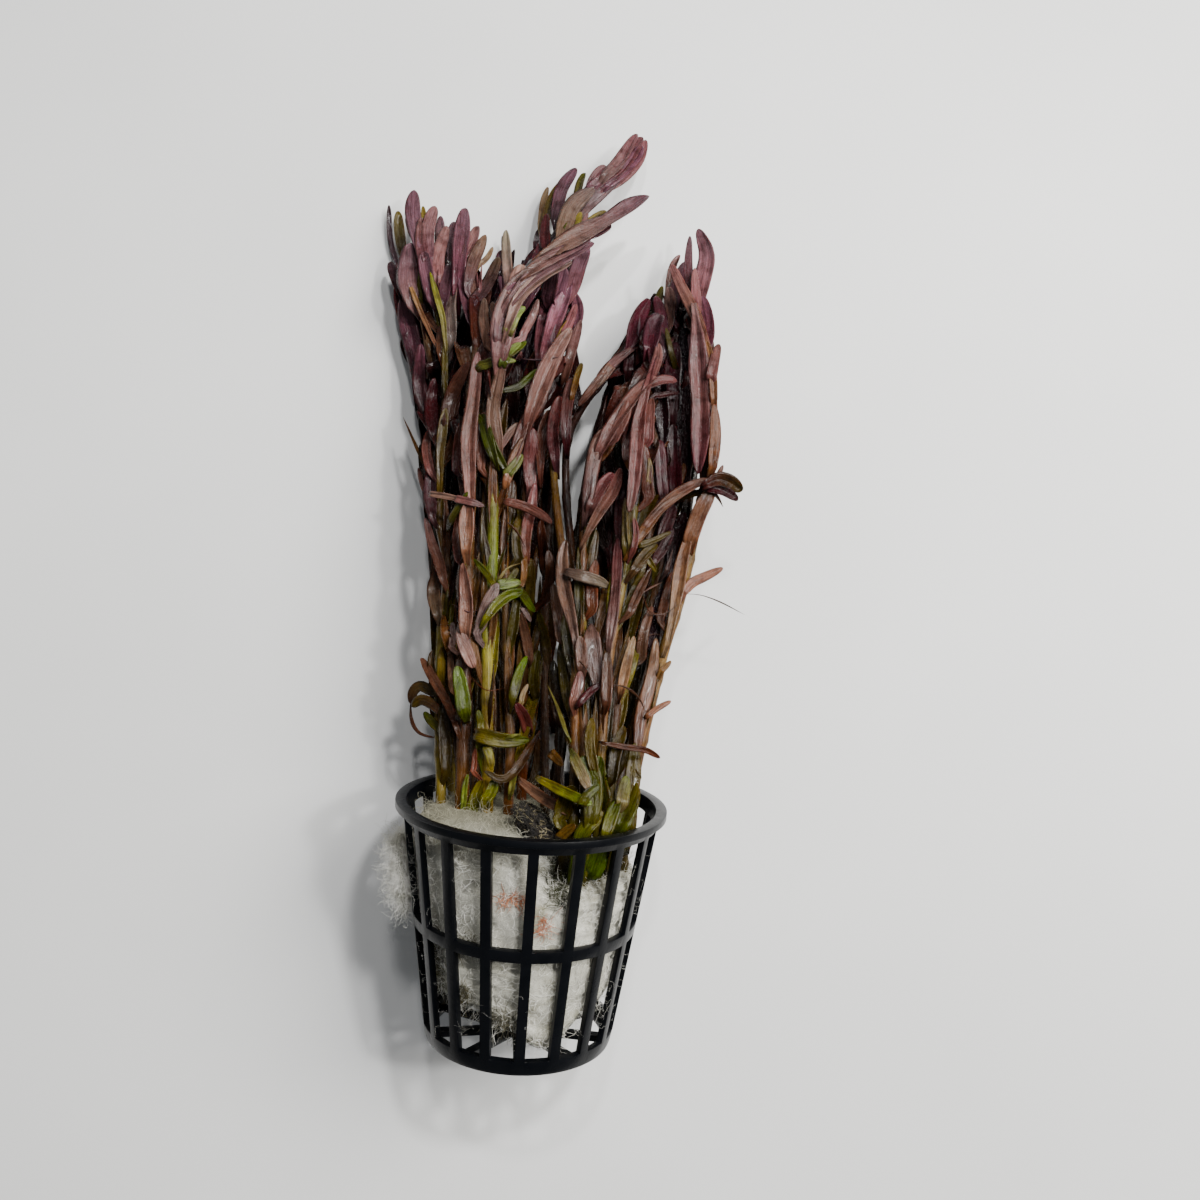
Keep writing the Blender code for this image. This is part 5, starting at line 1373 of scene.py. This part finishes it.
# The foot of a leaf that isn't joined to a stem in sight goes on a little, under what lies over it.
footTuck = {"share": 0.4, "crossShare": 0.06, "sink": 3.2}
shownLook = {
    "twist": (-25, 25), "cup": (-0.1, 0.3), "sections": 18, "longSections": 24, "longFrom": 5, "below": 1.0,
}


def restedHeights(spots, heights):
    # Where a leaf runs out past the pile it sags a little and doesn't drop straight down.
    gone = np.concatenate([[0.0], np.cumsum(np.hypot(*np.diff(spots[:, :2], axis=0).T))])
    gone *= view["distance"] / view["focal"]
    fall = pile["steepest"] * np.abs(gone[:, None] - gone[None, :])
    return (heights[None, :] - fall).max(axis=1)


def layShownLeaves(heaps, lines, cells):
    # Returns the grid of heights that the leaves in between must stay below.
    ceiling = np.full(cells.shape, 99.0)
    parting = pile["parting"]
    for foot, tip, width, lift, roll, *spots in shownLeaves:
        flat = smoothLine([(x, y, 0.0) for x, y in spots], 9)
        heights = np.array([max(pile["lowest"], pileAt(cells, x, y)) for x, y, _ in flat])
        for _ in range(3):
            heights = smoothed(heights)
        heights = restedHeights(flat, heights) + lift
        path = np.array([pointInView(x, y, z) for (x, y, _), z in zip(flat, heights)])
        apart = parting["across"] - parting["slope"] * (spots[0][1] - parting["down"])
        side = "left" if spots[0][0] < apart else "right"
        away, name, place = nearestStem(lines, path[0], side)
        stem = lines[name]
        start = stem[max(0, place - 2)]
        bridge, heading = path[0] - start, path[2] - path[0]
        straight = bridge @ heading / (np.linalg.norm(bridge) * np.linalg.norm(heading) + 1e-9)
        if away < pile["joinWithin"] and straight > 0.5:
            path = np.concatenate([[start], path])
        elif width > 1.0:
            run = path[0] - path[2]
            share = footTuck["share"] if abs(run[1]) > abs(run[0]) else footTuck["crossShare"]
            run *= min(1.0, share * np.linalg.norm(path[-1] - path[0]) / np.linalg.norm(run))
            under = path[0] + run - (0.0, 0.0, footTuck["sink"])
            path = np.concatenate([[np.maximum(under, (-99.0, -99.0, 0.6))], path])
        sections = shownLook["longSections" if len(spots) >= shownLook["longFrom"] else "sections"]
        addLeaf(
            heaps[name], path, width, tone[foot], tone[tip], roll, twist=chance.uniform(*shownLook["twist"]),
            cup=chance.uniform(*shownLook["cup"]), pointed=width < 1.0, sections=sections,
        )
        for x, y, z in zip(flat[:, 0], flat[:, 1], heights):
            spread = max(1, round(0.5 * width / pile["perPixel"] / pile["cell"]))
            row, column = int(y / pile["cell"]), int(x / pile["cell"])
            part = ceiling[row - spread:row + spread + 1, column - spread:column + spread + 1]
            np.minimum(part, z - shownLook["below"], out=part)
    return ceiling


# Painted light and shade over the leaves' own tones: how much of each tone is kept down the view, as
# (row, red, green, blue). The bunch is painted darker in the middle, where the leaves shade each other.
# The shares were found by comparing the mean colour of bands of the render with the same bands of the
# photo, and then rounded to a twentieth. The leaves that lie on top stay greyer than the stems and leaves
# below them, which take more painted shade.
shownPaintedShade = [
    (150, 0.55, 0.65, 0.7), (230, 0.8, 1.25, 1.15), (290, 0.75, 0.9, 0.9), (340, 0.55, 0.55, 0.6),
    (400, 0.4, 0.35, 0.3), (480, 0.45, 0.35, 0.35), (560, 0.5, 0.45, 0.35), (650, 0.65, 0.75, 0.65),
    (720, 0.5, 0.4, 0.25), (780, 0.55, 0.5, 0.3), (860, 0.5, 0.55, 0.25),
]
lowerPaintedShade = [
    (150, 0.55, 0.65, 0.7), (230, 0.75, 1.15, 1.0), (290, 0.7, 0.8, 0.8), (340, 0.5, 0.55, 0.4),
    (400, 0.35, 0.3, 0.15), (480, 0.4, 0.35, 0.15), (560, 0.45, 0.45, 0.15), (650, 0.7, 0.75, 0.3),
    (720, 0.5, 0.4, 0.15), (780, 0.55, 0.5, 0.15), (860, 0.5, 0.55, 0.25),
]

# Painted light and shade: brightness of each group beside the other, as (row, share).
sidePaintedLight = {
    "left_shoots": [
        (200, 0.95), (290, 1.05), (330, 1.25), (430, 0.75), (500, 1.3), (575, 0.9), (650, 1.4), (720, 0.9),
        (780, 1.8), (860, 1.0),
    ],
    "right_shoots": [
        (200, 1.25), (260, 1.2), (320, 0.7), (380, 1.0), (440, 1.1), (510, 0.7), (580, 1.05), (650, 0.75),
        (715, 0.95), (780, 0.7), (860, 1.0),
    ],
}


def paintLightAndShade(heap, shades, side, start, stop):
    # Each blade's colours are multiplied by the painted light and shade of its row and of its group.
    table = np.array(shades)
    beside = np.array(sidePaintedLight[side])
    for part in range(start, stop):
        down = pixelOf(heap["points"][part])[1]
        kept = between(down, table[:, 0], table[:, 1:])
        heap["colours"][part] = heap["colours"][part] * kept * np.interp(down, *beside.T)[:, None]


# Leaves in between: a pair at each joint of each stem, each pair turned a quarter from the one before

fill = {
    "spacing": 7.5, "tipSpacing": 4.5, "length": (11.0, 17.0), "tipLength": (9.0, 13.0), "width": (2.6, 4.0),
    "spread": (18.0, 38.0), "tries": 7, "lowest": 0.5, "lowFrom": 500.0, "lowLength": (14.0, 25.0),
    "lowSpread": (6.0, 20.0), "lowWidth": 0.62, "fromFoot": (3.0, 9.0), "beforeTip": 3.0, "nearTip": 22.0,
    "tipSpread": 0.55, "bend": (0.35, 0.9), "sag": 0.6, "coverDepth": 7.0, "lowPointed": 0.6, "pointed": 0.15,
    "aside": 0.35, "turn": 0.2, "stretch": (0.8, 1.2), "roll": (-50, 50), "twist": (-50, 50),
    "cup": (0.0, 0.6), "sections": 12,
}

# Outline of each group in the view: (row, left edge, right edge), in pixels.
outlines = {
    "left": [
        (186, 540, 590), (200, 388, 645), (215, 386, 620), (240, 387, 592), (262, 389, 584), (275, 392, 578),
        (290, 400, 574), (320, 401, 580), (350, 404, 576), (375, 413, 578), (400, 419, 577), (425, 421, 570),
        (450, 421, 563), (480, 419, 560), (500, 421, 563), (520, 426, 566), (545, 429, 568), (640, 430, 565),
        (700, 433, 560), (740, 437, 556), (780, 440, 552), (800, 443, 545), (840, 446, 540),
    ],
    "right": [
        (228, 692, 702), (250, 681, 709), (270, 668, 708), (290, 656, 703), (310, 639, 700), (335, 630, 706),
        (355, 616, 713), (380, 600, 718), (405, 602, 719), (440, 592, 718), (480, 588, 712), (505, 583, 702),
        (530, 570, 692), (560, 560, 692), (595, 556, 684), (630, 552, 676), (660, 552, 664), (700, 550, 656),
        (725, 550, 645), (765, 548, 639), (800, 548, 632), (840, 548, 626),
    ],
}

# Tones by place: the farther from the pot, the more purple. The darker tones for leaves deep in the pile are
# painted shade.
placeTones = [
    (330, ["mauve", "rose", "orchid", "wineRose", "dusk", "plum", "dustyRose"], ["night", "plum", "wine"]),
    (430, ["mauve", "wineRose", "dustyRose", "dusk", "umberRose", "plum"], ["night", "plum", "wine"]),
    (530, ["dusk", "umberRose", "dustyRose", "wine", "umber", "olive"], ["night", "plum", "darkOlive"]),
    (650, ["umber", "umberRose", "dusk", "olive", "darkOlive", "olive"], ["darkOlive", "plum", "night"]),
    (740, ["olive", "umber", "darkOlive", "oliveYellow", "umberRose"], ["darkOlive", "night", "umber"]),
    (900, ["olive", "oliveYellow", "darkOlive", "green", "umber"], ["darkOlive", "darkOlive", "umber"]),
]


potMouth = 815.0  # pixels down to the mouth of the pot, where the leaves end


def inOutline(side, across, down):
    rows = outlines[side]
    downs = [row[0] for row in rows]
    left = np.interp(down, downs, [row[1] for row in rows])
    right = np.interp(down, downs, [row[2] for row in rows])
    return (across > left) & (across < right) & (down > downs[0]) & (down < potMouth)


def placeTone(down, depth):
    for limit, lit, shadedNames in placeTones:
        if down < limit:
            # The deeper a leaf lies in the pile, the likelier it takes a dark tone: painted shade.
            names = shadedNames if chance.random() < depth else lit
            return tone[names[chance.integers(len(names))]]
    return tone["olive"]


def growLeaves(heaps, lines, cells, ceiling):
    grown = 0
    for name, line in lines.items():
        side = "left" if "left" in name else "right"
        gone = distances(line)
        ahead, across, over = lineFrames(line)
        where = stemShape["footDepth"] + chance.uniform(*fill["fromFoot"])
        turn = chance.uniform(0.0, math.pi)
        while where < gone[-1] - fill["beforeTip"]:
            near = gone[-1] - where < fill["nearTip"]
            index = int(np.searchsorted(gone, where))
            low = pixelOf(line[index])[1] > fill["lowFrom"] and not near
            lengths = fill["tipLength"] if near else fill["lowLength"] if low else fill["length"]
            for half in (0.0, math.pi):
                for attempt in range(fill["tries"]):
                    angle = turn + half + chance.normal(0.0, fill["aside"]) * (1 + attempt)
                    span = chance.uniform(*lengths)
                    out = math.radians(chance.uniform(*(fill["lowSpread"] if low else fill["spread"])))
                    out *= fill["tipSpread"] if near else 1.0
                    aside = math.cos(angle) * across[index] + math.sin(angle) * over[index]
                    steps = np.linspace(0.0, 1.0, 6)[:, None]
                    bend = chance.uniform(*fill["bend"])
                    path = line[index] + span * (
                        steps * math.cos(out) * ahead[index]
                        + math.sin(out) * (steps - 0.5 * bend * steps ** 2) * aside
                    )
                    path[:, 2] += chance.normal(0.0, fill["sag"]) * steps[:, 0] ** 2
                    path[:, 2] = np.maximum(path[:, 2], fill["lowest"] + 0.6)
                    x, y = pixelOf(path)
                    if inOutline(side, x, y).all():
                        break
                else:
                    continue
                limit = ceiling[(y / pile["cell"]).astype(int), (x / pile["cell"]).astype(int)]
                path[1:, 2] = np.maximum(np.minimum(path[1:, 2], limit[1:]), fill["lowest"])
                # The more of the pile lies over a leaf, the darker its tone: painted shade.
                cover = pileAt(cells, x[3], y[3]) - path[3, 2]
                depth = min(1.0, max(0.0, (cover + 1.0) / fill["coverDepth"]))
                foot, tip = placeTone(y[0], depth), placeTone(y[-1], depth)
                width = chance.uniform(*fill["width"]) * (fill["lowWidth"] if low else 1.0)
                addLeaf(
                    heaps[name], path, width, foot, 0.5 * foot + 0.5 * tip,
                    roll=chance.uniform(*fill["roll"]), twist=chance.uniform(*fill["twist"]),
                    cup=chance.uniform(*fill["cup"]), sections=fill["sections"],
                    pointed=chance.random() < fill["lowPointed" if low else "pointed"],
                )
                grown += 1
            turn += 0.5 * math.pi + chance.normal(0.0, fill["turn"])
            where += fill["tipSpacing"] if near else fill["spacing"] * chance.uniform(*fill["stretch"])
    print("leaves between", grown, "leaves shown", len(shownLeaves))


# Leaves low in the pile, wherever the surface would still show between the stems, in the dark tones of
# painted shade

deepFill = {
    "cell": 3.0, "from": {"left": 335.0, "right": 350.0}, "to": 800.0, "width": (2.8, 4.0),
    "height": (1.6, 5.0), "lean": (-0.12, 0.12), "tipUp": 36.0, "shortTipUp": 14.0, "footDown": 9.0,
    "stemWithin": 5.0, "footBack": 8.0, "tipAside": (-3, 3), "tipRise": (-0.8, 1.5), "roll": (-25, 25),
    "cup": 0.2, "sections": 10,
}


def markSeen(seen, heap, start):
    for rings in heap["rings"][start:]:
        for share in (0.0, 0.25, 0.5, 0.75):
            across, down = pixelOf((1.0 - share) * rings[:-1] + share * rings[1:])
            rows = np.clip((down / deepFill["cell"]).astype(int), 0, seen.shape[0] - 1)
            columns = np.clip((across / deepFill["cell"]).astype(int), 0, seen.shape[1] - 1)
            seen[rows, columns] = True


def closeGaps(heaps, lines):
    cell = deepFill["cell"]
    seen = np.zeros((int(view["size"] / cell), int(view["size"] / cell)), bool)
    for heap in heaps.values():
        markSeen(seen, heap, 0)
    added = 0
    for side in ("left", "right"):
        rows, columns = np.nonzero(~seen)
        across, down = (columns + 0.5) * cell, (rows + 0.5) * cell
        inside = inOutline(side, across, down) & (down > deepFill["from"][side]) & (down < deepFill["to"])
        for x, y in chance.permutation(np.stack([across, down], axis=1)[inside]):
            if seen[int(y / cell), int(x / cell)]:
                continue
            height = chance.uniform(*deepFill["height"])
            middle = pointInView(x, y, height)
            _, name, place = nearestStem(lines, middle - (0.0, 7.0, 0.0), side)
            stem = lines[name][place]
            lean = chance.uniform(*deepFill["lean"])
            aside, rise = chance.uniform(*deepFill["tipAside"]), chance.uniform(*deepFill["tipRise"])
            tip = pointInView(x + aside, y - deepFill["tipUp"], height + rise)
            if not inOutline(side, *pixelOf(tip)):
                tip = pointInView(x, y - deepFill["shortTipUp"], height)
            foot = stem
            if abs(stem[0] - middle[0]) >= deepFill["stemWithin"]:
                foot = middle - (lean * deepFill["footBack"], deepFill["footBack"], 0.0)
            if not inOutline(side, *pixelOf(foot)):
                foot = pointInView(x, y + deepFill["footDown"], height)
            # These leaves take the dark tones of painted shade.
            addLeaf(
                heaps[name], np.array([foot, middle, tip]), chance.uniform(*deepFill["width"]),
                placeTone(y, 1.0), placeTone(y, 0.8), roll=chance.uniform(*deepFill["roll"]),
                cup=deepFill["cup"], pointed=True, sections=deepFill["sections"],
            )
            markSeen(seen, heaps[name], len(heaps[name]["points"]) - 1)
            added += 1
    print("leaves low in the pile", added)


# Table and light

# Half the table's side in metres; its drop and its pattern in millimetres.
stageLook = {"half": 1.5, "drop": 0.2, "clouds": 111.0, "tones": [(0.3, "#c9c9c8"), (0.7, "#d2d2d1")]}


def makeStage():
    # A plain pale table top with a faint satin, a little below the lowest leaves.
    made, tree, shader, place = newMaterial("paleTable", {"Roughness": 0.5})
    scale = perMetre(stageLook["clouds"])
    clouds = addNode(tree, "ShaderNodeTexNoise", {"Scale": scale, "Detail": 3.0}, {"Vector": place})
    tint = addNode(tree, "ShaderNodeValToRGB", {"stops": stageLook["tones"]}, {"Fac": clouds})
    joinUp(tree, shader, {"Base Color": tint})
    shape = bmesh.new()
    bmesh.ops.create_grid(shape, x_segments=1, y_segments=1, size=stageLook["half"])
    mesh = bpy.data.meshes.new("table")
    shape.to_mesh(mesh)
    shape.free()
    mesh.materials.append(made)
    table = addObject("table", mesh)
    table.location.z = -stageLook["drop"] * mm


lights = {
    "sky": 0.24, "skyColour": "#e9edf2",
    "window": {"at": (0.7, 0.3, 0.75), "size": 0.6, "power": 22.0, "colour": "#fffdf8"},
    "glint": {"at": (0.22, 0.3, 0.6), "size": 0.05, "power": 3.6, "colour": "#ffffff"},
    "glintLow": {"at": (0.34, 0.04, 0.56), "size": 0.04, "power": 1.9, "colour": "#ffffff"},
    "glintHigh": {"at": (0.03, 0.36, 0.62), "size": 0.04, "power": 1.6, "colour": "#ffffff"},
}


def makeLights():
    world = bpy.data.worlds.new("softSky")
    world.use_nodes = True
    background = world.node_tree.nodes["Background"]
    background.inputs["Color"].default_value = linear(lights["skyColour"])
    background.inputs["Strength"].default_value = lights["sky"]
    bpy.context.scene.world = world
    for name in ("window", "glint", "glintLow", "glintHigh"):
        setting = lights[name]
        data = bpy.data.lights.new(name, "AREA")
        data.size = setting["size"]
        data.energy = setting["power"]
        data.color = linear(setting["colour"])[:3]
        lamp = addObject(name, data)
        lamp.location = setting["at"]
        lamp.rotation_euler = (-Vector(setting["at"])).to_track_quat("-Z", "Y").to_euler()


def makeCamera():
    data = bpy.data.cameras.new("camera")
    data.sensor_width = 36.0
    data.lens = data.sensor_width * view["focal"] / view["size"]
    data.clip_start = 0.01
    data.clip_end = 10.0
    camera = addObject("camera", data)
    back = Vector((0.0, -math.sin(view["pitch"]), math.cos(view["pitch"])))
    camera.location = (Vector(shift) + back * view["distance"]) * mm
    camera.rotation_euler = (view["pitch"], 0.0, 0.0)
    bpy.context.scene.camera = camera


felt = flossFelt()
skin = leafSkin()
makePot(potPlastic())
print("pot done")
makeFloss(felt, threadSkin("flossThread", *flossFinish["thread"]))
makeRootClump()
# The leaves draw from a generator of their own, so that the floss can't shift them.
chance = np.random.default_rng(11)
lines = {name: stemLine(name) for name in stemRoutes}
heaps = {name: newHeap() for name in lines}
cells = makePile(lines)
ceiling = layShownLeaves(heaps, lines, cells)
shown = {name: len(heap["colours"]) for name, heap in heaps.items()}
growLeaves(heaps, lines, cells, ceiling)
for name, line in lines.items():
    addStem(heaps[name], name, line)
closeGaps(heaps, lines)
for name in lines:
    side = "left_shoots" if "left" in name else "right_shoots"
    # Painted light and shade by row and group: one table for the leaves that show, one for all below them.
    paintLightAndShade(heaps[name], shownPaintedShade, side, 0, shown[name])
    paintLightAndShade(heaps[name], lowerPaintedShade, side, shown[name], len(heaps[name]["colours"]))
    pieceFrom(name.replace("shoot", "leafy"), heaps[name], skin, [name])
print("shoots done")
makeStage()
makeLights()
makeCamera()
print("table, lights and camera done")
